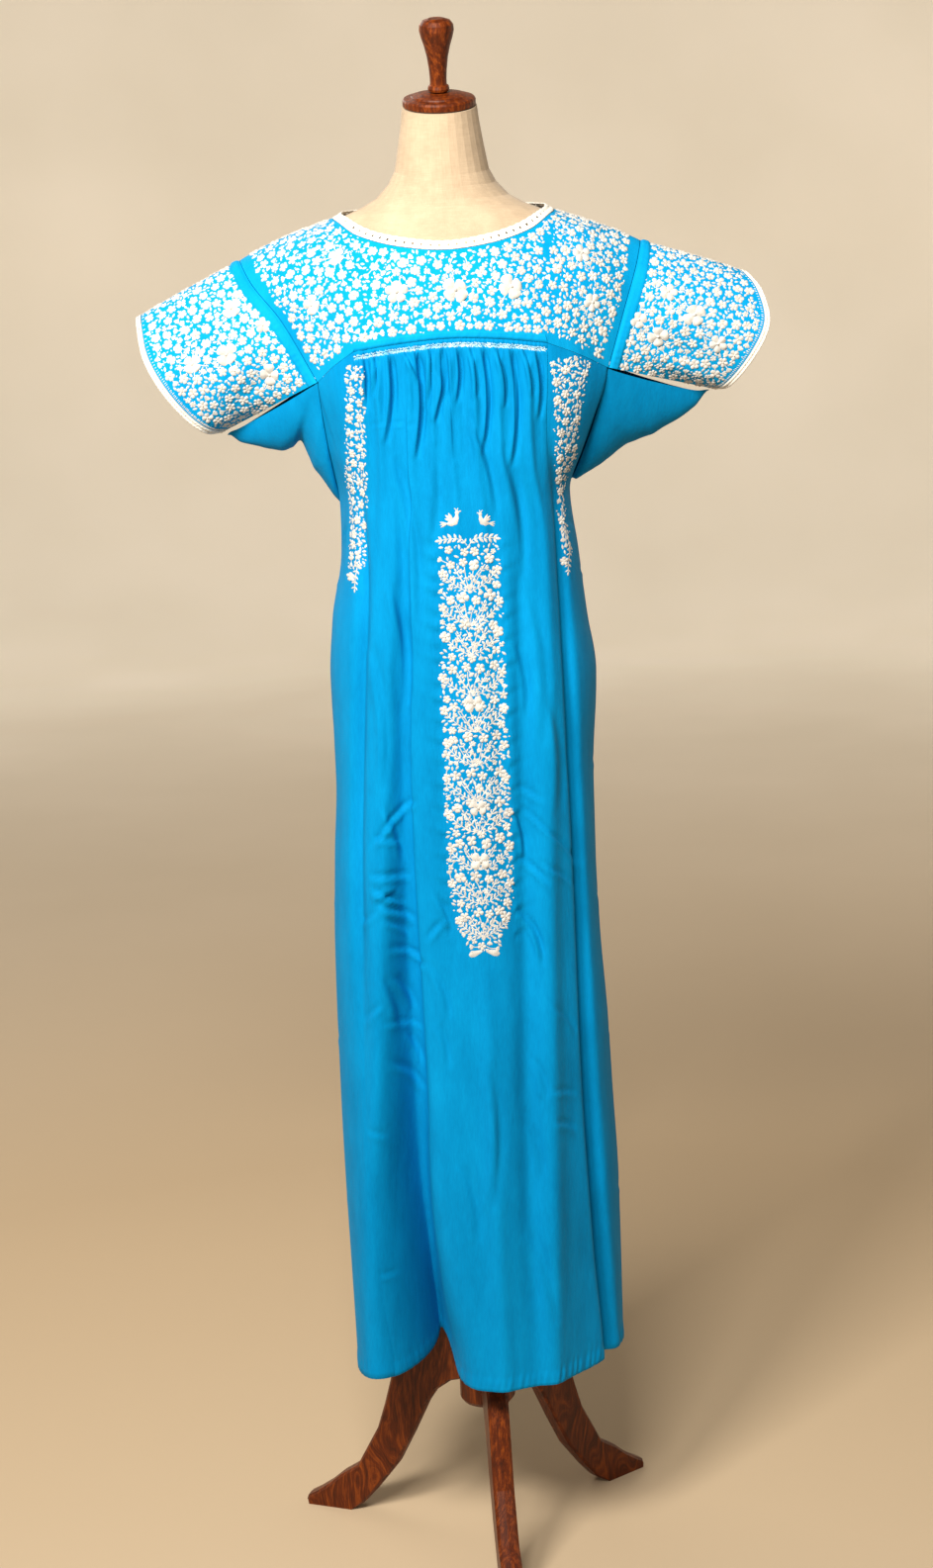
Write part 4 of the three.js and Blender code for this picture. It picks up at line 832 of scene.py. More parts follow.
# ---------------------------------------------------------------- creases, puckers and hems
# on the front: from x, z to x, z, depth of the trough, half width; a ridge has a negative depth
CREASES_FRONT = [
    (-92, 1450, -93, 1385, 2.4, 3.0), (-80, 1450, -83, 1402, 2.2, 2.6), (-63, 1449, -70, 1352, 2.8, 3.2),
    (-47, 1449, -35, 1418, 1.8, 2.2), (-34, 1451, -37, 1335, 3.0, 3.4), (-19, 1452, -25, 1388, 2.4, 2.6),
    (-5, 1453, -15, 1372, 2.6, 3.0), (11, 1452, 9, 1392, 2.0, 2.6), (25, 1451, 31, 1398, 2.2, 2.6),
    (39, 1450, 37, 1338, 2.8, 3.2), (54, 1449, 62, 1386, 2.4, 2.6), (70, 1448, 68, 1322, 2.8, 3.4),
    (83, 1447, 92, 1398, 2.2, 2.4), (97, 1445, 99, 1372, 2.4, 3.0), (-12, 1440, 2, 1330, 1.6, 4.5),
    (-88, 1369, -40, 1368, 0.7, 1.3), (-60, 1330, -44, 1150, 1.8, 5.0), (20, 1380, 48, 1268, 1.4, 4.0),
    (58, 1340, 76, 1200, 1.6, 5.0), (-20, 1345, -24, 1240, 1.2, 5.0),
    (-108, 897, -56, 950, 1.6, 3.2), (-106, 906, -74, 900, 1.3, 3.0), (-112, 862, -66, 858, 1.8, 3.4),
    (-108, 846, -74, 826, 2.0, 3.2), (-100, 828, -62, 806, 1.8, 3.6), (-110, 832, -84, 846, -1.6, 3.2),
    (-96, 812, -70, 790, 1.4, 3.0), (-92, 778, -52, 758, 1.5, 3.4), (-86, 742, -66, 700, 1.6, 4.4),
    (-104, 690, -58, 676, 0.9, 3.0), (-92, 640, -60, 598, 1.6, 4.0), (-74, 668, -60, 630, 1.4, 4.0),
    (-98, 742, -82, 680, 1.4, 5.0), (-90, 940, -72, 880, 1.2, 4.0), (-50, 790, -30, 812, 1.4, 3.0),
    (-44, 762, -26, 700, 1.3, 4.2), (-38, 690, -30, 640, 1.2, 4.0), (-36, 842, -20, 800, 1.2, 3.4),
    (62, 936, 124, 866, 1.5, 2.6), (56, 880, 92, 846, 1.7, 3.0), (84, 872, 120, 838, 1.2, 2.6),
    (58, 930, 66, 876, 1.4, 3.2), (56, 820, 84, 764, 1.6, 3.4), (70, 806, 82, 752, 1.2, 3.2),
    (60, 960, 88, 942, 1.2, 3.0), (94, 702, 118, 664, 0.9, 2.8), (70, 640, 82, 596, 1.2, 4.2),
    (64, 560, 74, 500, 1.1, 5.0), (88, 604, 116, 590, 1.0, 3.0), (92, 566, 114, 548, 1.2, 3.2),
    (20, 640, 16, 470, 1.4, 6.0), (60, 430, 84, 320, 1.3, 6.0), (-16, 520, -2, 430, 1.1, 5.0),
    (-128, 800, -104, 822, 0.9, 3.0), (-126, 690, -106, 712, 1.1, 3.2), (-128, 560, -104, 552, 0.8, 3.4),
    (-122, 380, -100, 378, 0.8, 3.0), (-70, 1190, -60, 1060, 1.6, 5.0), (-96, 1120, -90, 960, 1.4, 5.0),
    (84, 1180, 92, 1010, 1.2, 6.0), (100, 1060, 108, 930, 1.2, 5.0), (66, 1120, 74, 1040, 1.3, 4.0),
]
# beside the centre strip the stitching draws the cloth in: z and how far, on the left and on the right
PUCKERS_LEFT = [(1236, 1.2), (1217, 1.9), (1196, 1.5), (1180, 2.2), (1158, 1.6), (1139, 2.3), (1120, 1.4),
                (1103, 2.0), (1077, 1.7), (1058, 2.2), (1034, 1.5), (1012, 1.9), (988, 1.3), (961, 1.9),
                (937, 1.5), (907, 2.1), (880, 1.6), (852, 1.8), (829, 1.3), (800, 1.8)]
PUCKERS_RIGHT = [(1228, 1.0), (1204, 1.4), (1171, 1.2), (1150, 1.7), (1126, 1.2), (1096, 1.8), (1066, 1.3),
                 (1041, 1.9), (1009, 1.3), (983, 1.7), (955, 1.4), (926, 2.0), (900, 1.5), (873, 2.0),
                 (846, 1.4), (815, 1.9), (788, 1.4)]
# on the back and the sides, with x or y for the place across
CREASES_BACK = [
    (-84, 1450, -88, 1380, 2.4, 3.0), (-62, 1450, -58, 1402, 2.0, 2.6), (-40, 1450, -46, 1360, 2.6, 3.2),
    (-18, 1451, -16, 1398, 2.2, 2.6), (4, 1452, 2, 1350, 2.6, 3.2), (24, 1451, 30, 1400, 2.2, 2.8),
    (46, 1450, 44, 1352, 2.6, 3.2), (66, 1450, 72, 1392, 2.2, 2.8), (86, 1450, 84, 1372, 2.4, 3.0),
    (-70, 980, -36, 950, 1.4, 3.4), (-30, 930, 10, 944, 1.3, 3.4), (30, 900, 70, 872, 1.5, 3.4),
    (-80, 760, -50, 742, 1.3, 3.6), (-20, 700, 6, 664, 1.2, 4.4), (40, 640, 76, 612, 1.4, 4.0),
    (-60, 520, -30, 500, 1.1, 4.0), (10, 480, 40, 470, 1.1, 4.0), (-10, 1200, 8, 1100, 1.4, 5.0),
    (50, 1180, 60, 1060, 1.3, 5.0), (-60, 1150, -64, 1040, 1.4, 5.0),
]
CREASES_SIDE = [
    (-60, 1250, -20, 1236, 1.5, 3.2), (20, 1240, 56, 1256, 1.5, 3.2), (-30, 1190, 30, 1176, 1.4, 3.6),
    (-56, 980, -10, 958, 1.4, 3.4), (12, 900, 54, 916, 1.4, 3.4), (-40, 820, -14, 790, 1.3, 3.6),
    (-66, 660, -20, 640, 1.2, 4.0), (10, 600, 60, 572, 1.3, 4.0), (-50, 460, -12, 440, 1.2, 4.2),
    (30, 420, 80, 432, 1.1, 4.2), (-8, 1120, 0, 1010, 1.5, 5.0), (40, 1090, 46, 980, 1.4, 5.0),
]
HEM_WIDTH = 17
CREASE_STRENGTH, SIDE_CREASE_STRENGTH = 1.7, 0.6


def crease(cloth, rows, axis, strength=CREASE_STRENGTH):
    """Soft troughs with a low ridge beside them, along lines on the cloth."""
    across, z = cloth.p[..., axis], cloth.p[..., 2]
    h = np.zeros_like(z)
    for x0, z0, x1, z1, depth, half in rows:
        dx, dz = x1 - x0, z1 - z0
        length = math.hypot(dx, dz)
        along = ((across - x0) * dx + (z - z0) * dz) / length**2
        bow = 0.05 * length * np.sin(np.pi * np.clip(along, 0, 1))
        aside = (((across - x0) * dz - (z - z0) * dx) / length + bow) / half
        window = strength * np.sin(np.pi * np.clip(along * 0.94 + 0.03, 0, 1)) ** 0.6
        h -= depth * window * (np.exp(-(aside**2)) - 0.75 * np.exp(-((aside - 1.7) ** 2)))
    cloth.push(h)


def hemmed(cloth, rng):
    """Puckered hem, turned under, along the last row."""
    across, down = cloth.lengths()
    up = down[:, -1:] - down
    waves = np.zeros_like(up)
    for _ in range(5):
        pitch, phase = rng.uniform(6, 15), rng.uniform(0, 6)
        waves += np.sin(2 * np.pi * across / pitch + phase) / 5
    fade = np.exp(-(((up - HEM_WIDTH * 0.55) / (HEM_WIDTH * 0.55)) ** 2))
    cloth.push(1.3 * waves * fade - 0.9 * np.exp(-(((up - HEM_WIDTH) / 1.6) ** 2)) + 0.5 * (up < HEM_WIDTH))
    p, n = cloth.p, cloth.n
    low = p[:, -1]
    inner = [low + n[:, -1] * -0.5 - [0, 0, 0.4], low + n[:, -1] * -1.2, p[:, -4] - n[:, -4] * 1.3]
    cloth.p = np.concatenate([p, np.stack(inner, 1)], 1)
    cloth.settle()
    cloth.n[:, -3:] = n[:, -1:]


# ---------------------------------------------------------------- cloth pieces
PANEL_ROWS = np.concatenate([steps(12, 0, 0.0125)[:-1], steps(60, 0.0125, 0.16)[:-1], steps(256, 0.16, 1)])
PLAIN_ROWS = np.concatenate([steps(10, 0, 0.0125)[:-1], steps(50, 0.0125, 0.16)[:-1], steps(130, 0.16, 1)])
TUCK = 0.008
front = Cloth(front_panel, steps(240, EDGE, 1 - EDGE), PANEL_ROWS)
back = Cloth(back_panel, steps(180, EDGE, 1 - EDGE), PLAIN_ROWS)
sides = {s: Cloth(side_panel(s), steps(96, -TUCK, 1 + TUCK), PLAIN_ROWS, -1 if s == "left" else 1)
         for s in ("left", "right")}
STRETCHES, COLUMNS_EACH, YOKE_ROWS = len(YOKE_EDGE), 70, 48
FRONT_STRETCH, BACK_STRETCH = 0, 4
SLEEVE_COLUMNS, SLEEVE_ROWS = 150, 48
yoke = Cloth(yoke_point, steps(STRETCHES * COLUMNS_EACH, 0, STRETCHES)[:-1], steps(YOKE_ROWS), closed=True)
sleeves = {s: Cloth(sleeve_point(s), steps(SLEEVE_COLUMNS), steps(SLEEVE_ROWS)) for s in ("left", "right")}
GUSSET_STEPS = steps(70, 0.004, 0.994)
gussets = {s: Cloth(gusset_point(s), GUSSET_STEPS, GUSSET_STEPS, -1 if s == "left" else 1)
           for s in ("left", "right")}

weave = random.Random(SEED)
STRIP_X, STRIP_HALF = 14.0, 37.0


def puckered(cloth):
    x, z = cloth.p[..., 0], cloth.p[..., 2]
    h = np.zeros_like(x)
    for rows, edge, reach in ((PUCKERS_LEFT, STRIP_X - STRIP_HALF, -13),
                              (PUCKERS_RIGHT, STRIP_X + STRIP_HALF, 13)):
        away = (x - edge) / reach
        near = np.where(away > -0.25, np.exp(-np.clip(away, 0, None) * 1.5) * smooth((away + 0.25) / 0.4), 0)
        for place, depth in rows:
            off = (z - place - 5 * away) / 4.2
            h += near * depth * (np.exp(-((off - 1.3) ** 2)) - np.exp(-(off**2)))
    cloth.push(h)


def gathered(cloth, seed):
    """Fine pleats of the smocked edge, under the stitching and just below it."""
    rng = random.Random(seed)
    across, down = cloth.lengths()
    width = across[:, 0:1]
    h = np.zeros_like(down)
    place = 2.0
    while place < width[-1, 0]:
        pitch = rng.uniform(3.4, 6.2)
        high, long = rng.uniform(0.5, 1.3), rng.uniform(9, 34)
        line = np.exp(-(((width - place - 0.03 * down * rng.uniform(-1, 1)) / (pitch * 0.36)) ** 2))
        h += high * line * smooth((down + 1) / 3) * np.exp(-((down / (SMOCK_BAND + long)) ** 2))
        place += pitch
    stitched = np.exp(-(((down - SMOCK_BAND + 1.5) / 2.2) ** 2))
    rolled = np.exp(-((down / 1.4) ** 2))
    cloth.push(h * (1 - 0.8 * stitched) - 0.9 * stitched - 1.0 * rolled)


gathered(front, SEED + 1)
gathered(back, SEED + 2)
puckered(front)
crease(front, CREASES_FRONT, 0)
crease(back, CREASES_BACK, 0)
for side in ("left", "right"):
    crease(sides[side], CREASES_SIDE, 1, SIDE_CREASE_STRENGTH)
    edge = np.minimum(sides[side].u + TUCK, 1 + TUCK - sides[side].u) / TUCK
    sides[side].push(-1.1 * np.exp(-((edge / 2.2) ** 2)))
for cloth in (front, back, sides["left"], sides["right"]):
    hemmed(cloth, weave)


def keep(obj, nodes=()):
    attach(obj, "root")
    if nodes:
        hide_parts(*nodes)
    return obj


keep(cloth_object("skirt_front", front, COTTON), ["front_panel"])
keep(cloth_object("skirt_back", back, COTTON), ["back_panel"])
keep(cloth_object("yoke_cloth", yoke, COTTON_PAINTED_LIT), ["yoke"])
for side in ("left", "right"):
    keep(cloth_object(f"skirt_side_{side}", sides[side], COTTON), [f"side_{side}"])
    keep(cloth_object(f"sleeve_cloth_{side}", sleeves[side], COTTON_PAINTED_LIT),
         [f"sleeve_{side}"])
    keep(cloth_object(f"gusset_cloth_{side}", gussets[side], COTTON), [f"gusset_{side}"])

for name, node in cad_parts.items():
    if not node.hide_render:
        look = LINEN if name == "torso" else WOOD
        node.data.materials.clear()
        node.data.materials.append(look)

# ---------------------------------------------------------------- stitched shapes
PETAL = ((0.08, 0.3), (0.36, 0.68), (0.66, 1.0), (0.88, 0.84), (1.0, 0.36))
LEAF = ((0.0, 0.16), (0.3, 0.8), (0.58, 1.0), (0.84, 0.55), (1.0, 0.08))
STEM_HALF = 0.5
# most grid steps that one round of fitting a stitch to the cloth may take
LONGEST_STEP = 12


def ribbon(line, widths, height, columns=4, edge=0.12):
    """Domed strip along a line of x, y points in mm: points with heights above the cloth, and faces."""
    line, widths = np.array(line, float), np.array(widths, float)
    tangent = unit(np.gradient(line, axis=0))
    side = np.stack([tangent[:, 1], -tangent[:, 0]], -1)
    s = np.linspace(-1, 1, columns)
    flat = line[:, None] + side[:, None] * (s[None, :] * widths[:, None])[..., None]
    full = np.minimum(1, 1.25 * widths / widths.max())[:, None]
    h = np.broadcast_to(edge + height * (1 - s**2) * full, flat.shape[:2])
    points = np.concatenate([flat, h[..., None]], -1).reshape(-1, 3)
    count = len(line)
    i, j = np.meshgrid(np.arange(count - 1), np.arange(columns - 1), indexing="ij")
    a = i * columns + j
    faces = np.stack([a, a + 1, a + columns + 1, a + columns], -1).reshape(-1, 4)
    along = np.broadcast_to(np.arange(count)[:, None], flat.shape[:2])
    uv = np.stack([s[None, :] * widths[:, None], along], -1)
    return points, faces, uv.reshape(-1, 2)


def merged(shapes):
    points, faces, uv, start = [], [], [], 0
    for p, f, t in shapes:
        points.append(p)
        faces.append(f + start)
        uv.append(t)
        start += len(p)
    return np.concatenate(points), np.concatenate(faces), np.concatenate(uv)


def moved(shape, x=0.0, y=0.0, turn=0.0, size=1.0):
    p, f, t = shape
    c, s = math.cos(turn) * size, math.sin(turn) * size
    out = np.stack([p[:, 0] * c - p[:, 1] * s + x, p[:, 0] * s + p[:, 1] * c + y, p[:, 2] * size], -1)
    return out, f, t * size


def profile(rows, length, width, bend=0.0):
    """Line and widths of a petal or leaf of this length and half width."""
    t = np.array([row[0] for row in rows])
    w = np.array([row[1] for row in rows]) * width
    return np.stack([bend * length * t * t, t * length], -1), w


def leaf(length, width, bend=0.0, height=0.55):
    return ribbon(*profile(LEAF, length, width, bend), height)


def knot(size, height):
    return ribbon([(0, -size), (0, -size * 0.4), (0, size * 0.4), (0, size)],
                  [size * 0.5, size, size, size * 0.5], height, 4)


def flower(rng, petals, fat=1.0):
    """Flower of unit radius."""
    width = math.sin(math.pi / petals) * fat
    out = []
    for k in range(petals):
        turn = 2 * math.pi * (k + rng.uniform(-0.07, 0.07)) / petals
        line, widths = profile(PETAL, rng.uniform(0.88, 1.08), width * rng.uniform(0.9, 1.06))
        out.append(moved(ribbon(line, widths, 0.2, 4, 0.03), turn=turn))
    out.append(knot(0.15, 0.2))
    return merged(out)


def bud():
    """Three lobed bud of unit radius, open upwards."""
    lobe = ribbon(*profile(PETAL, 1.6, 0.42), 0.16, 4, 0.03)
    out = [moved(lobe, y=-0.75, turn=t) for t in (-0.55, 0, 0.55)]
    out.append(moved(ribbon(*profile(LEAF, 0.8, 0.2), 0.12, 3, 0.03), y=-1.0))
    return merged(out)


def stem(points, half=STEM_HALF, height=0.35):
    return ribbon(points, [half] * len(points), height, 3)


def bent(x0, y0, x1, y1, bow, count=5):
    """Points of a bowed line."""
    t = np.linspace(0, 1, count)
    dx, dy = x1 - x0, y1 - y0
    side = bow * np.sin(np.pi * t)
    return np.stack([x0 + dx * t - dy * side, y0 + dy * t + dx * side], -1)


def branch(points, rng, leaves, length, width):
    """Stem with leaves along it, longest in the middle."""
    points = np.array(points, float)
    out = [stem(points)]
    reach = np.concatenate([[0], np.cumsum(np.linalg.norm(np.diff(points, axis=0), axis=1))])
    for k in range(leaves):
        t = (k + 0.7) / leaves * reach[-1]
        x, y = np.interp(t, reach, points[:, 0]), np.interp(t, reach, points[:, 1])
        x2, y2 = np.interp(t - 1, reach, points[:, 0]), np.interp(t - 1, reach, points[:, 1])
        heading = math.atan2(-(x - x2), y - y2)
        size = (0.7 + 0.3 * math.sin(math.pi * (k + 1) / (leaves + 1))) * rng.uniform(0.88, 1.1)
        for turn in (0.85, -0.85):
            out.append(moved(leaf(length, width, 0.12), x, y, heading + turn, size))
    out.append(moved(leaf(length, width), points[-1, 0], points[-1, 1],
                     math.atan2(-(points[-1, 0] - points[-2, 0]), points[-1, 1] - points[-2, 1])))
    return merged(out)


def bird():
    """Small bird that looks to the right, about 14 mm high."""
    out = [ribbon([(-5.5, -3.2), (-2.6, -3.6), (0.6, -2.4), (2.6, 0.4), (3.2, 3.0)],
                  [0.7, 2.0, 2.7, 1.7, 0.9], 0.8),
           moved(knot(1.5, 0.7), 3.3, 4.2), stem([(4.2, 4.6), (5.4, 5.0), (6.4, 5.0)], 0.5)]
    for turn, long in ((0.5, 7.0), (0.9, 7.5), (1.3, 6.5)):
        out.append(moved(leaf(long, 1.15, 0.1), -0.4, -1.6, turn))
    for turn in (1.25, 1.6, 1.95):
        out.append(moved(leaf(6.0, 0.75), -5.0, -3.2, turn))
    out += [stem([(3.0, 5.4), (2.6, 6.8), (1.8, 7.8)], 0.36),
            stem([(3.6, 5.4), (4.0, 6.8), (4.6, 7.6)], 0.36)]
    return merged(out)


class Stitches:
    """Satin shapes laid on one cloth and made into one piece."""

    def __init__(self, cloth):
        self.cloth = cloth
        self.points, self.faces, self.uv, self.total = [], [], [], 0
        self.places = np.zeros((9000, 3))
        self.radii = np.zeros(9000)
        self.count = 0

    def claim(self, point, radius):
        self.places[self.count], self.radii[self.count] = point, radius
        self.count += 1

    def free(self, point, radius, gap):
        off = np.linalg.norm(self.places[: self.count] - point, axis=1)
        return not (off < self.radii[: self.count] + radius + gap).any()

    def add(self, a, b, shape):
        p, f, t = shape
        q, n = self.cloth.at(a, b)
        self.points.append(q + n * p[:, 2:])
        self.faces.append(f + self.total)
        self.uv.append(t * 0.001)
        self.total += len(p)

    def frame(self, a, b):
        nu, nv = self.cloth.p.shape[:2]
        i = int(round(a)) % nu if self.cloth.closed else min(max(int(round(a)), 0), nu - 1)
        j = min(max(int(round(b)), 0), nv - 1)
        return self.cloth.du[i, j], self.cloth.dv[i, j], self.cloth.n[i, j], self.cloth.p[i, j]

    def lay(self, a, b, shape):
        """Shape in mm round place a, b, with y up the cloth and x to its right."""
        pa, pb, n, _ = self.frame(a, b)
        up = unit(-pb)
        right = np.cross(up, n)
        d = shape[0][:, :1] * right + shape[0][:, 1:2] * up
        target = self.cloth.at(np.array(a), np.array(b))[0] + d
        a, b = np.full(len(d), float(a)), np.full(len(d), float(b))
        for _ in range(3):
            a, b = self.nearer(a, b, target)
        self.add(a, b, shape)

    def nearer(self, a, b, target):
        """Grid places a, b moved along the cloth towards the target points."""
        nu, nv = self.cloth.p.shape[:2]
        i = np.round(a).astype(int)
        i = i % nu if self.cloth.closed else np.clip(i, 0, nu - 1)
        j = np.clip(np.round(b).astype(int), 0, nv - 1)
        pa, pb = self.cloth.du[i, j], self.cloth.dv[i, j]
        off = target - self.cloth.at(a, b)[0]
        aa, ab, bb = (pa * pa).sum(-1), (pa * pb).sum(-1), (pb * pb).sum(-1)
        ra, rb = (off * pa).sum(-1), (off * pb).sum(-1)
        det = np.maximum(aa * bb - ab * ab, 1e-9)
        step_a = np.clip((ra * bb - rb * ab) / det, -LONGEST_STEP, LONGEST_STEP)
        step_b = np.clip((rb * aa - ra * ab) / det, -LONGEST_STEP, LONGEST_STEP)
        return a + step_a, b + step_b

    def towards(self, a, b, point):
        """Turn that points a shape's y at a place in space."""
        pa, pb, n, p = self.frame(a, b)
        up = unit(-pb)
        right = np.cross(up, n)
        d = point - p
        return math.atan2(-(d @ right), d @ up)

    def spots(self, rng, tries):
        """Random places spread evenly over the cloth."""
        c = self.cloth
        area = np.linalg.norm(np.cross(c.du, c.dv), axis=-1).ravel()
        picks = np.random.default_rng(rng.randrange(10**6))
        cells = picks.choice(len(area), tries, p=area / area.sum())
        a = cells // c.p.shape[1] + picks.uniform(-0.5, 0.5, tries)
        b = cells % c.p.shape[1] + picks.uniform(-0.5, 0.5, tries)
        return a, b, c.at(a, b)[0]

    def scatter(self, rng, radius, gap, tries, inside):
        """Places with room for a shape of this radius, which they claim."""
        a, b, p = self.spots(rng, tries)
        good = inside(a, b, p, radius)
        found = []
        for k in np.nonzero(good)[0]:
            if self.free(p[k], radius, gap):
                self.claim(p[k], radius)
                found.append((a[k], b[k], p[k]))
        return found

    def nearest(self, x, z, front_side=True):
        """Grid place of the front or back point at x, z."""
        p = self.cloth.p
        off = (p[..., 0] - x) ** 2 + (p[..., 2] - z) ** 2
        off = np.where((p[..., 1] < 0) == front_side, off, 1e9)
        i, j = np.unravel_index(np.argmin(off), off.shape)
        return float(i), float(j)

    def make(self, name, material, slot):
        obj = mesh_object(name, np.concatenate(self.points), np.concatenate(self.faces), material,
                          np.concatenate(self.uv))
        return keep(obj)


draw = random.Random(SEED + 5)
FLOWERS = [flower(draw, petals, fat) for petals, fat in ((5, 0.66), (5, 0.72), (4, 0.68), (6, 0.7), (5, 0.62),
                                                         (3, 0.62), (4, 0.82))]
BUDS = [bud() for _ in range(2)]


def big_flower(stitches, a, b, radius, rng):
    """Large flower with fern sprays round it."""
    point, _ = stitches.cloth.at(np.array(a), np.array(b))
    stitches.claim(point, radius)
    turn = rng.uniform(0, 1)
    stitches.lay(a, b, moved(FLOWERS[6 if rng.random() < 0.6 else 1], turn=turn, size=radius * 1.05))
    stitches.lay(a, b, moved(FLOWERS[0], turn=turn + 0.6, size=radius * 0.42))
    for k in range(9):
        way = 2 * math.pi * (k + rng.uniform(-0.2, 0.2)) / 9
        long = rng.uniform(5.5, 8.5)
        x, y = -math.sin(way), math.cos(way)
        r0, r1 = radius * 0.9, radius + long
        stitches.lay(a, b, stem(bent(x * r0, y * r0, x * r1, y * r1, rng.uniform(-0.12, 0.12))))
        for k2, side in enumerate((1, -1, 1, -1)):
            r = radius + long * (0.3 + 0.18 * k2)
            stitches.lay(a, b, moved(leaf(2.6, 0.55), x * r, y * r, way + side * 0.8))


def fill(stitches, rng, inside, radii=(5.7, 3.4, 2.0, 1.1), tries=(3200, 6500, 9000, 6000)):
    """Flowers, then buds, leaves and knots in what is left, with thin stems between."""
    flowers = stitches.scatter(rng, radii[0], 0.5, tries[0], inside)
    for a, b, _ in flowers:
        shape = FLOWERS[rng.choice((0, 1, 2, 3, 4, 6, 0, 1))]
        stitches.lay(a, b, moved(shape, turn=rng.uniform(0, 6.3), size=radii[0] * rng.uniform(0.94, 1.1)))
    hubs = stitches.places[: stitches.count].copy()
    for a, b, p in stitches.scatter(rng, radii[1], 0.2, tries[1], inside):
        near = hubs[np.argmin(np.linalg.norm(hubs - p, axis=1))] if len(hubs) else p
        turn = stitches.towards(a, b, near) + math.pi
        far = float(np.linalg.norm(near - p))
        if rng.random() < 0.45:
            stitches.lay(a, b, moved(FLOWERS[rng.choice((2, 5, 0))], turn=turn, size=radii[1] * 1.08))
        else:
            stitches.lay(a, b, moved(BUDS[rng.randrange(2)], turn=turn, size=radii[1] * 1.05))
        line = bent(0, -radii[1] * 0.7, 0, -far * 0.7, rng.uniform(-0.15, 0.15))
        stitches.lay(a, b, moved(stem(line), turn=turn))
    for a, b, p in stitches.scatter(rng, radii[2], 0.2, tries[2], inside):
        near = hubs[np.argmin(np.linalg.norm(hubs - p, axis=1))] if len(hubs) else p
        turn = stitches.towards(a, b, near) + math.pi + rng.uniform(-0.5, 0.5)
        long = rng.uniform(4.6, 6.0)
        stitches.lay(a, b, moved(leaf(long, 1.4, rng.uniform(-0.2, 0.2)), turn=turn,
                                 x=math.sin(turn) * long / 2, y=-math.cos(turn) * long / 2))
    for a, b, _ in stitches.scatter(rng, radii[3], 0.3, tries[3], inside):
        stitches.lay(a, b, moved(leaf(2.6, 0.8), turn=rng.uniform(0, 6.3)))


# ---------------------------------------------------------------- embroidery of the yoke
# width of the plain cloth along the yoke's edges, and on each side of the plain lines
EDGE_PLAIN, ARMHOLE_PLAIN, NECK_PLAIN, GAP_HALF = 8.5, 11.5, 2.2, 2.6
# the row of flowers above the lower edge: first and last place, step, height above the plain edge
ROW_START, ROW_END, ROW_STEP, ROW_HEIGHT = 0.05, 0.97, 0.051, 5.6
GAP_LINES = [[(-126, -55, 1580), (-93, -88, 1549), (-89, -104, 1519), (-90, -110, 1490)],
             [(127, -52, 1582), (112, -74, 1556), (115, -88, 1538), (128, -95, 1520)]]


def outline_gap(points, p):
    """Distance of places p from a line of points."""
    out = np.full(len(p), 1e9)
    for a, b in zip(np.array(points[:-1], float), np.array(points[1:], float)):
        t = np.clip((p - a) @ (b - a) / ((b - a) @ (b - a)), 0, 1)
        out = np.minimum(out, np.linalg.norm(p - a - (b - a) * t[:, None], axis=1))
    return out


yoke_down = yoke.lengths()[1]
yoke_size = yoke_down[:, -1]


def on_yoke(a, b, p, radius):
    i = np.round(a).astype(int) % len(yoke_size)
    j = np.clip(np.round(b).astype(int), 0, YOKE_ROWS)
    down = yoke_down[i, j]
    w = np.mod(a * STRETCHES / (STRETCHES * COLUMNS_EACH), STRETCHES)
    on_edge = (w < FRONT_STRETCH + 1) | ((w >= BACK_STRETCH) & (w < BACK_STRETCH + 1))
    plain = np.where(on_edge, EDGE_PLAIN, ARMHOLE_PLAIN)
    good = (down > NECK_PLAIN + radius) & (yoke_size[i] - down > plain + radius * 0.9)
    for line in GAP_LINES:
        good &= outline_gap(line, p) > radius + GAP_HALF
    return good


rng = random.Random(SEED + 7)
stitches = Stitches(yoke)
for x, z, radius, ahead in ((-53, 1512, 12.5, True), (11, 1512, 13.5, True), (70, 1513, 13, True),
                            (-118, 1552, 9.5, True), (150, 1545, 10.5, True), (-148, 1500, 10, True),
                            (160, 1492, 10, True), (-55, 1530, 12, False), (8, 1528, 13, False),
                            (68, 1531, 12, False), (-140, 1508, 10, False), (140, 1510, 10, False)):
    i, j = stitches.nearest(x, z, ahead)
    big_flower(stitches, i, j, radius, rng)
for start in (FRONT_STRETCH, BACK_STRETCH):
    place = ROW_START
    while place < ROW_END:
        i = (start + place) * COLUMNS_EACH
        drop = yoke_size[int(i)]
        j = YOKE_ROWS * (1 - (EDGE_PLAIN + ROW_HEIGHT) / drop)
        point, _ = yoke.at(np.array(i), np.array(j))
        radius = rng.uniform(4.8, 6.2)
        if stitches.free(point, radius, -0.6):
            stitches.claim(point, radius)
            stitches.lay(i, j, moved(FLOWERS[rng.choice((0, 1, 4, 2))], turn=rng.uniform(0, 6), size=radius))
        place += ROW_STEP
fill(stitches, rng, on_yoke)
stitches.make("yoke_embroidery", SATIN, "embroidered_cotton")

# ---------------------------------------------------------------- embroidery of the sleeves
BIG_ON_SLEEVE = {"left": ((-238, 1499, 11), (-246, 1449, 12), (-200, 1424, 11), (-285, 1440, 10),
                          (-205, 1480, 9)),
                 "right": ((273, 1473, 12), (233, 1451, 11), (300, 1440, 10), (245, 1500, 10),
                           (210, 1470, 9))}
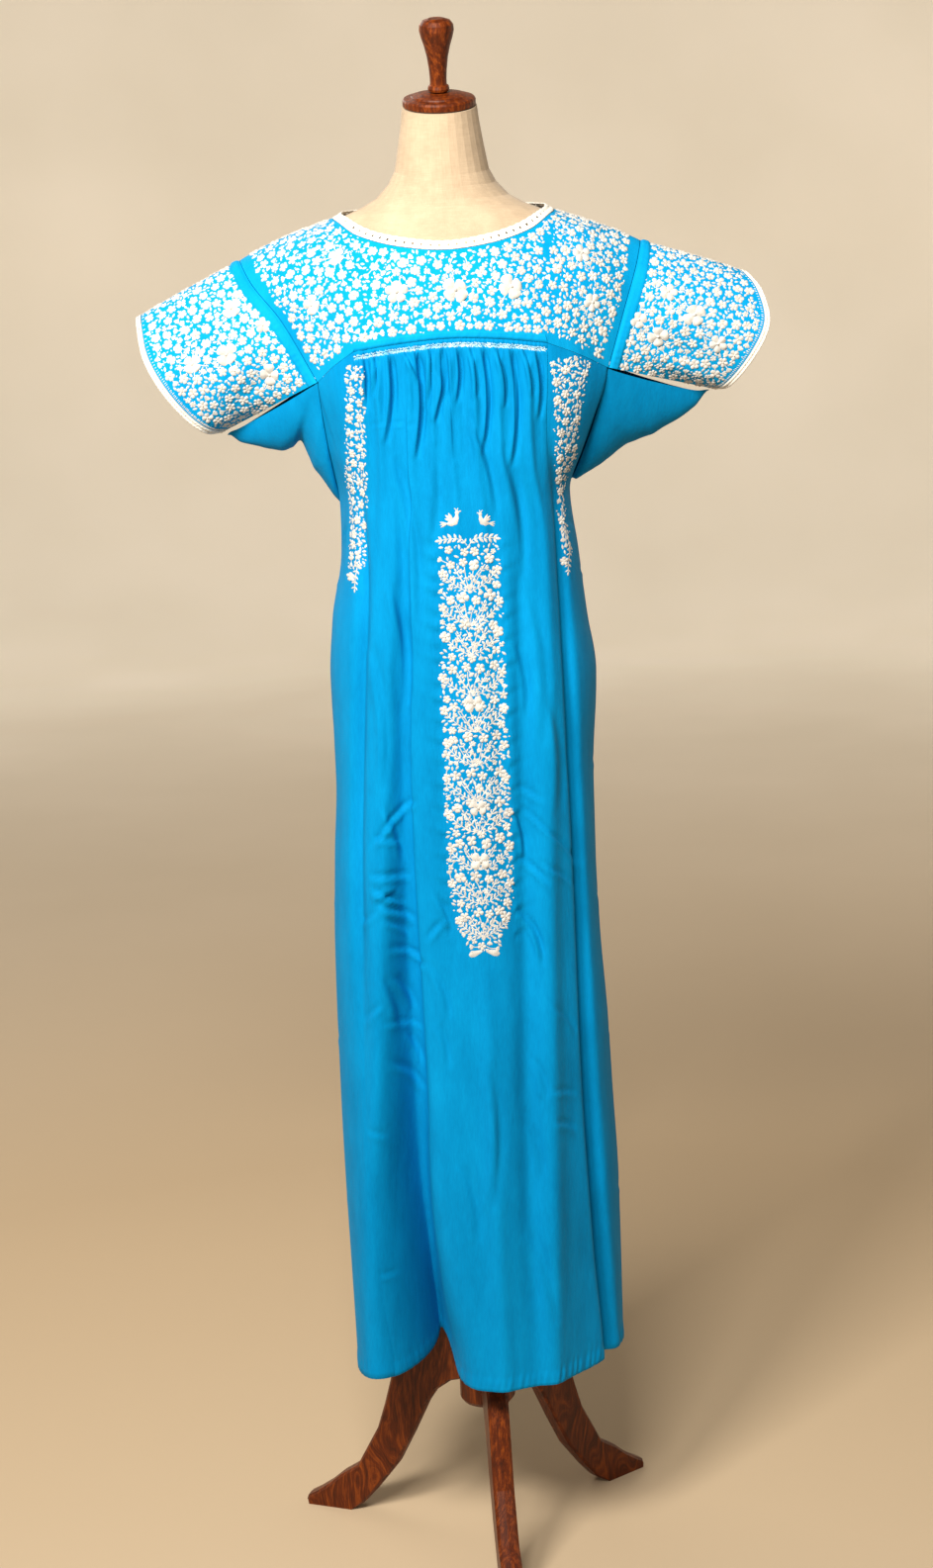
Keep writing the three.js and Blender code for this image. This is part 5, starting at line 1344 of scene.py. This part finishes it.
# the cuff's stitches: their pitch, and how far they lie from the edge
CUFF_STITCH = 2.6
for side, cloth in sleeves.items():
    down = cloth.lengths()[1]
    size = down[:, -1]
    stitches = Stitches(cloth)

    def on_sleeve(a, b, p, radius):
        i = np.clip(np.round(a).astype(int), 0, len(size) - 1)
        j = np.clip(np.round(b).astype(int), 0, SLEEVE_ROWS)
        edge = np.minimum(a, SLEEVE_COLUMNS - a) / SLEEVE_COLUMNS
        reach = size[i] - down[i, j]
        return (down[i, j] > ARMHOLE_PLAIN + radius) & (reach > 5 + radius) & (edge > 0.012)

    for x, z, radius in BIG_ON_SLEEVE[side]:
        for ahead in (True, False):
            i, j = stitches.nearest(x, z, ahead)
            big_flower(stitches, i, j, radius, rng)
    fill(stitches, rng, on_sleeve)
    # short stitches that hold the lace to the cuff
    around = np.linalg.norm(np.diff(cloth.p[:, -1], axis=0), axis=1).sum()
    count = int(around / CUFF_STITCH)
    for k in range(count):
        a = (k + 0.5) / count * SLEEVE_COLUMNS
        j = SLEEVE_ROWS * (1 - CUFF_STITCH / size[int(a)])
        stitches.lay(a, j, moved(leaf(rng.uniform(2.6, 3.6), 0.55), turn=rng.uniform(-0.25, 0.25), y=-1.6))
    stitches.make(f"sleeve_embroidery_{side}", SATIN, "embroidered_cotton")

# ---------------------------------------------------------------- lace, bands and smocking
LACE_HEIGHT = 11.0
CORD_THICKNESS = 0.0007
HOLE_EVERY, HOLE_WIDE, CUFF_HOLE_EVERY = 9.4, 2.0, 3.6


def lace_piece(name, cloth, nodes, free_first, width, period):
    """Crocheted edge: a cord along the cloth, a row of holes, and a scalloped cord at its free edge."""
    nu, nv = cloth.p.shape[:2]
    across = cloth.lengths()[0][:, :1]
    share = steps(nv - 1)[None, :]
    share = 1 - share if free_first else share
    total = float(across[-1, 0])
    count = max(1, round(total / period))
    turn = 2 * np.pi * count * across / total
    loops = np.sin(across * 2 * np.pi / 2.3) * np.sign(np.sin(share * 15))
    relief = (0.75 * np.exp(-(((share - 0.2) / 0.19) ** 2)) + 0.65 * np.exp(-(((share - 0.8) / 0.15) ** 2))
              + 0.22 * loops + 0.12 * np.sin(across * 1.3 + share * 7))
    cloth.push(relief)
    away = unit(cloth.p[:, 0] - cloth.p[:, 1]) if free_first else unit(cloth.p[:, -1] - cloth.p[:, -2])
    reach = 0.09 * width * (np.abs(np.cos(turn / 2)) - 0.5)
    shift = np.clip((share - 0.7) / 0.3, 0, 1) * reach
    cloth.p = cloth.p + away[:, None] * shift[..., None]
    faces = grid_faces(nu, nv, cloth.closed, flip=cloth.turn > 0)
    spans = nu if cloth.closed else nu - 1
    middle = (share[0, 1:] + share[0, :-1]) / 2
    open_row = np.abs(middle - 0.5) < 0.085
    open_column = (np.mod(across[:spans, 0] * count / total, 1) < HOLE_WIDE / period)
    kept = ~(open_column[:, None] & open_row[None, :]).ravel()
    uv = np.stack([np.broadcast_to(cloth.lengths()[1], (nu, nv)), np.broadcast_to(across, (nu, nv))], -1)
    obj = mesh_object(name, cloth.p.reshape(-1, 3), faces[kept], CROCHET, uv.reshape(-1, 2) * 0.001)
    wall = obj.modifiers.new("wall", "SOLIDIFY")
    wall.thickness, wall.offset = CORD_THICKNESS, -1
    return keep(obj, nodes)


neck_edge = Cloth(lace_point, steps(1000, 0, STRETCHES)[:-1], steps(13), closed=True)
lace_piece("neck_crochet", neck_edge, ["neck_lace"], True, LACE_HEIGHT, HOLE_EVERY)


def cuff_point(side):
    sleeve = sleeve_point(side)

    def point(u, v):
        p = sleeve(u, np.ones_like(u))
        along = unit(p - sleeve(u, np.full_like(u, 0.8)))
        return p + along * mix(LACE_GAP, CUFF_LACE_WIDTH, v)[..., None]

    return point


for side in ("left", "right"):
    cuff_edge = Cloth(cuff_point(side), steps(440), steps(9))
    lace_piece(f"cuff_crochet_{side}", cuff_edge, [f"cuff_lace_{side}"], False, CUFF_LACE_WIDTH,
               CUFF_HOLE_EVERY)


def band(name, function, us, vs, nodes, lift, seed):
    """Strip of plain cloth sewn over a seam, a little full between its stitched edges."""
    cloth = Cloth(function, us, vs)
    rng = random.Random(seed)
    across = cloth.lengths()[0]
    share = np.linspace(-1, 1, len(vs))[None, :]
    waves = sum(np.sin(across * 2 * np.pi / rng.uniform(5, 13) + rng.uniform(0, 6)) for _ in range(4)) / 4
    stitched = np.exp(-(((np.abs(share) - 0.72) / 0.1) ** 2))
    cloth.push(lift * (1 - share**6) + 0.35 * waves * (1 - share**2) - 0.35 * stitched)
    return keep(cloth_object(name, cloth, COTTON_PAINTED_LIT), nodes)


for face, start, seed in (("front", FRONT_STRETCH, SEED + 31), ("back", BACK_STRETCH, SEED + 32)):
    band(f"yoke_edge_{face}", yoke_point, steps(220, start, start + 1), steps(12, 0.918, 0.998),
         [f"yoke_band_{face}"], 1.5, seed)
for side in ("left", "right"):
    band(f"armhole_edge_{side}", sleeve_point(side), steps(260), steps(12, 0.01, 0.095),
         [f"armhole_band_{side}"], 1.7, SEED + 33)


def smocking(name, cloth, nodes, seed):
    """Rows of small slanted stitches that hold the gathers."""
    rng = random.Random(seed)
    across, down = cloth.lengths()
    stitches = Stitches(cloth)
    columns = np.arange(len(across))
    for drop, slant, long in ((5.4, 0.9, 2.7), (7.2, -0.9, 2.9), (9.0, 0.7, 2.6)):
        place = 1.2
        while place < across[-1, 0] - 1:
            a = np.interp(place, across[:, 0], columns)
            b = np.interp(drop + rng.uniform(-0.35, 0.35), down[int(a)], np.arange(down.shape[1]))
            shape = leaf(long * rng.uniform(0.85, 1.15), rng.uniform(0.6, 0.85), 0.1, 0.7)
            stitches.lay(a, b, moved(shape, turn=slant + rng.uniform(-0.35, 0.35), y=-long / 2))
            place += rng.uniform(1.3, 2.0)
    obj = stitches.make(name, PALE, "crochet")
    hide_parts(*nodes)


smocking("smocking_front", front, ["smock_front"], SEED + 41)
smocking("smocking_back", back, ["smock_back"], SEED + 42)

# ---------------------------------------------------------------- embroidered strips of the skirt
# where the rays start, in front of the cloth; the carrier's pitch; least forward part of its normals
RAY_START, CARRIER_STEP, LEAST_FORWARD = -600.0, 1.5, 0.35


def surface(clothes):
    """Tree of the cloths' faces, in mm, for rays."""
    points, faces, total = [], [], 0
    for cloth in clothes:
        nu, nv = cloth.p.shape[:2]
        points.append(cloth.p.reshape(-1, 3))
        faces.append(grid_faces(nu, nv) + total)
        total += nu * nv
    return BVHTree.FromPolygons([Vector(p) for p in np.concatenate(points)],
                                [tuple(int(k) for k in f) for f in np.concatenate(faces)])


def carrier(tree, left, right, high, low, step=CARRIER_STEP):
    """Cloth grid over the front between x left and right, and z high and low."""
    xs = np.arange(left, right + step, step)
    zs = np.arange(high, low - step, -step)
    ys = np.zeros((len(xs), len(zs)))
    for i, x in enumerate(xs):
        for j, z in enumerate(zs):
            hit, *_ = tree.ray_cast(Vector((x, RAY_START, z)), Vector((0, 1, 0)))
            ys[i, j] = hit[1] if hit else np.nan
    missed = np.isnan(ys)
    known = np.where(missed, np.nanmean(ys), ys)
    cloth = Cloth(lambda u, v: np.stack([u, known, v], -1), xs, zs)
    steep = np.abs(cloth.n[..., 1]) < LEAST_FORWARD
    cloth.open = missed | steep
    return cloth


class Strip(Stitches):
    """Shapes placed by x from a middle line and z on a carrier."""

    def __init__(self, cloth, middle, half, step=CARRIER_STEP):
        super().__init__(cloth)
        self.middle, self.half, self.step = middle, half, step
        self.left, self.high = cloth.p[0, 0, 0], cloth.p[0, 0, 2]

    def sew(self, shape, x=0.0, z=0.0):
        p, f, t = shape
        height = p[:, 1] + z
        across = p[:, 0] + x + track(self.middle, height)
        self.add((across - self.left) / self.step, (self.high - height) / self.step, shape)

    def hold(self, x, z, radius):
        a = (x + float(track(self.middle, np.array(z))) - self.left) / self.step
        self.claim(self.cloth.at(np.array(a), np.array((self.high - z) / self.step))[0], radius)

    def inside(self, a, b, p, radius):
        z = p[:, 2]
        off = np.abs(p[:, 0] - track(self.middle, z))
        low, high = self.half[-1][0], self.half[0][0]
        good = (off < track(self.half, z) - radius * 0.8) & (z > low + radius) & (z < high - radius)
        nu, nv = self.cloth.open.shape
        for da, db in ((0, 0), (1, 0), (-1, 0), (0, 1), (0, -1)):
            i = np.clip(np.round(a + da * radius / self.step).astype(int), 0, nu - 1)
            j = np.clip(np.round(b + db * radius / self.step).astype(int), 0, nv - 1)
            good &= ~self.cloth.open[i, j]
        return good


front_tree = surface([front, sides["left"], sides["right"]])
CENTRE_HALF = [(1236, 34), (1180, 35), (1100, 37), (1000, 38), (860, 38), (815, 33), (790, 24), (772, 19)]
CENTRE_LINE = [(1300, 13.5), (1000, 14), (760, 15)]
TIERS = (1188, 1149, 1117, 1071, 1030, 992, 951, 915, 873, 833, 795)


def tier(strip, base, wide, high, rng):
    """Leafy branches that open upwards from the middle, with flowers above them."""
    for side in (-1, 1):
        w, h = wide * rng.uniform(0.9, 1.0), high * rng.uniform(0.9, 1.05)
        outer = [(side * w * t, h * (0.06 + 0.72 * t**1.6) - 2) for t in (0.0, 0.25, 0.5, 0.72, 0.9)]
        inner = [(side * w * 0.5 * t, h * (0.02 + 0.8 * t**1.25)) for t in (0.0, 0.3, 0.6, 0.85)]
        strip.sew(branch(outer, rng, 7, 6.4, 1.2), z=base)
        strip.sew(branch(inner, rng, 4, 5.2, 1.05), z=base)
        for x, y in outer[1:]:
            strip.hold(x, base + y, 2.2)
        for x, y in inner[1:]:
            strip.hold(x, base + y, 1.6)
        r = rng.uniform(5.2, 6.6)
        x, y = side * (w - r * 0.6), h * rng.uniform(0.62, 0.78)
        strip.sew(moved(FLOWERS[rng.choice((0, 1, 4))], turn=rng.uniform(0, 6), size=r), x, base + y)
        strip.hold(x, base + y, r)
    for k, share in enumerate((-0.62, -0.2, 0.2, 0.64)):
        x = share * wide + rng.uniform(-1.5, 1.5)
        y = high * (0.84 + 0.1 * (k % 2)) + rng.uniform(-1.5, 1.5)
        r = rng.uniform(5.0, 6.8)
        strip.sew(stem(bent(0, 0, x * 0.8, y - r, rng.uniform(-0.1, 0.1), 6)), z=base)
        strip.sew(moved(FLOWERS[rng.choice((0, 1, 2, 4, 6))], turn=rng.uniform(0, 6), size=r), x, base + y)
        strip.hold(x, base + y, r)


rng = random.Random(SEED + 21)
strip = Strip(carrier(front_tree, -34, 62, 1290, 764), CENTRE_LINE, CENTRE_HALF)
for side in (-1, 1):
    spray = [(side * x, y) for x, y in ((1, -6), (6, 0.5), (14, 2.0), (22, 1.6), (30, 0.4))]
    strip.sew(branch(spray, rng, 6, 6.6, 1.5), z=1241)
    strip.hold(side * 12, 1241, 3)
    strip.hold(side * 24, 1241, 3)
little = bird()
strip.sew(moved(little, turn=0.1, size=1.45), -15, 1265)
mirror = (little[0] * np.array([-1, 1, 1]), little[1][:, ::-1], little[2])
strip.sew(moved(mirror, turn=-0.15, size=1.25), 18, 1263)
for place, size in ((1052, 10.5), (934, 9.5), (873, 11)):
    strip.sew(moved(FLOWERS[2], turn=0.8, size=size), 0, place + 6)
    strip.sew(moved(FLOWERS[5], turn=0.3, size=size * 0.5), 0, place + 6)
    strip.hold(0, place + 6, size)
for base, following in zip(TIERS, TIERS[1:] + (760,)):
    wide = float(track(CENTRE_HALF, np.array(base + 14.0)))
    high = 36 if base > 800 else 30
    tier(strip, base - 4, wide, min(high, base - following + 6), rng)
for side in (-1, 1):
    strip.sew(moved(ribbon(*profile(PETAL, 17, 3.6), 0.9), turn=side * -1.9), side * 1.0, 775.5)
fill(strip, rng, strip.inside, (5.0, 3.0, 1.8, 1.0), (400, 1600, 3500, 1500))
strip.make("strip_embroidery_centre", SATIN, "embroidered_cotton")

SIDE_STRIPS = {
    "left": ([(1436, -103.5), (1330, -107), (1240, -111), (1180, -113)],
             [(1436, 11.5), (1240, 14.5), (1206, 10)], (-132, -84)),
    "right": ([(1438, 134), (1390, 130), (1300, 126), (1215, 127)],
              [(1436, 24), (1400, 19), (1330, 14), (1260, 12), (1215, 9)], (100, 166)),
}
for side, (middle, half, (x_left, x_right)) in SIDE_STRIPS.items():
    strip = Strip(carrier(front_tree, x_left, x_right, 1440, 1160), middle, half)
    low = half[-1][0]
    strip.sew(branch([(2, 10), (1, 2), (-1, -8), (-2, -20)], rng, 5, 5.0, 1.0), z=low)
    strip.sew(moved(FLOWERS[1], size=5.2), -6, low - 8)
    fill(strip, rng, strip.inside, (5.2, 3.2, 1.8, 1.0), (900, 2600, 4200, 3000))
    strip.make(f"strip_embroidery_{side}", SATIN, "embroidered_cotton")


# ---------------------------------------------------------------- floor, light and camera
POLE = SHIFT * 0.001
CAMERA_X, CAMERA_DISTANCE, CAMERA_HEIGHT = 0.002, 3.180, 1.620
CAMERA_PITCH, CAMERA_ROLL = 12.08, 2.15
FOCAL_PIXELS, PHOTO_HEIGHT, SENSOR = 2813, 1585, 36.0
WARM = (1.0, 0.94, 0.85)
# metres, and steps round; the wall stands beyond every view's camera
FLOOR_RADIUS, WALL_RADIUS, WALL_HEIGHT, TURN_STEPS = 6.6, 8.0, 6.4, 96


def studio_floor():
    """Round floor that curves up into a wall on all sides. Its paper is browner and darker near the middle,
    and painted darker towards the front as painted shade; it glows as painted light, dimly near the middle
    and with its own colour farther out.
    """
    bend = WALL_RADIUS - FLOOR_RADIUS
    profile = [(0.02, 0.0), (1.5, 0.0), (FLOOR_RADIUS, 0.0)]
    for a in np.linspace(0, math.pi / 2, 13)[1:]:
        profile.append((FLOOR_RADIUS + bend * math.sin(a), bend - bend * math.cos(a)))
    profile.append((WALL_RADIUS, WALL_HEIGHT))
    r, z = np.array(profile).T
    turn = np.linspace(0, 2 * np.pi, TURN_STEPS, endpoint=False)[:, None]
    points = np.stack([np.cos(turn) * r, np.sin(turn) * r, np.broadcast_to(z, (TURN_STEPS, len(z)))], -1)
    faces = [grid_faces(TURN_STEPS, len(z), closed=True, flip=True),
             (np.arange(TURN_STEPS) * len(z))[None, :]]
    m = Nodes("studio_paper_painted_light")
    place = m.add("ShaderNodeTexCoord").outputs["Object"]
    tone = m.noise(place, 1.3, 3)
    wall = m.ramp(tone, [(0.3, rgb("e6dcca")), (0.7, rgb("eee4d3"))])
    parts = m.add("ShaderNodeSeparateXYZ", {"Vector": place})
    away = m.add("ShaderNodeVectorMath", {0: m.scaled(place, (1, 1, 0))}, operation="LENGTH")
    out = m.maths("MULTIPLY", m.maths("SUBTRACT", away.outputs["Value"], 1.4), 0.2)
    far = m.add("ShaderNodeClamp", {"Value": out}).outputs["Result"]
    low = m.add("ShaderNodeMixRGB", {"Fac": far, "Color1": rgb("c4ae90"), "Color2": wall})
    # painted shade: the paper is darker towards the front of the room and lighter behind the dress
    back = m.maths("MULTIPLY", m.maths("ADD", parts.outputs["Y"], 2.6), 0.28)
    front_shade_fade = m.add("ShaderNodeClamp", {"Value": back}).outputs["Result"]
    paper = m.add("ShaderNodeMixRGB", {"Fac": front_shade_fade, "Color1": rgb("a89c8a"),
                                       "Color2": low.outputs["Color"]}).outputs["Color"]
    # painted light: the paper glows, dimly near the middle and with its own colour farther out
    painted_glow = m.add("ShaderNodeMixRGB", {"Fac": far, "Color1": rgb("2a2520"), "Color2": paper})
    m.set(Base_Color=paper, Emission_Color=painted_glow.outputs["Color"], Roughness=0.95,
          Specular_IOR_Level=0.1, Emission_Strength=0.36)
    floor = mesh_object("studio_floor", points.reshape(-1, 3) * 1000 - SHIFT, faces, m.material)


def area_light(name, place, aim, size, power, colour):
    data = bpy.data.lights.new(name, "AREA")
    data.shape, data.size, data.size_y = "RECTANGLE", size[0], size[1]
    data.energy, data.color = power, colour
    lamp = bpy.data.objects.new(name, data)
    lamp.location = place
    lamp.rotation_euler = (Vector(aim) - Vector(place)).to_track_quat("-Z", "Y").to_euler()
    bpy.context.scene.collection.objects.link(lamp)


def camera():
    data = bpy.data.cameras.new("camera")
    data.sensor_width = SENSOR
    data.lens = SENSOR * FOCAL_PIXELS / PHOTO_HEIGHT
    data.clip_start, data.clip_end = 0.05, 50
    obj = bpy.data.objects.new("camera", data)
    turn = Matrix.Rotation(math.radians(90 - CAMERA_PITCH), 4, "X") @ Matrix.Rotation(
        math.radians(-CAMERA_ROLL), 4, "Z")
    spot = Vector((POLE[0] + CAMERA_X, POLE[1] - CAMERA_DISTANCE, CAMERA_HEIGHT))
    obj.matrix_world = Matrix.Translation(spot) @ turn
    bpy.context.scene.collection.objects.link(obj)
    bpy.context.scene.camera = obj


studio_floor()
area_light("key", (-1.15, -2.1, 2.9), (0, 0, 1.2), (0.7, 0.7), 114, WARM)
area_light("second", (-0.3, -2.4, 3.0), (0, 0, 1.1), (0.7, 0.7), 90, WARM)
area_light("rim", (-1.2, 1.9, 2.8), (0, 0, 1.3), (1.8, 1.2), 18, (1.0, 0.95, 0.88))
world = bpy.data.worlds.new("studio")
world.use_nodes = True
world.node_tree.nodes["Background"].inputs["Color"].default_value = (1.0, 0.93, 0.84, 1)
world.node_tree.nodes["Background"].inputs["Strength"].default_value = 0.1
bpy.context.scene.world = world
bpy.context.scene.view_settings.view_transform = "Standard"
camera()
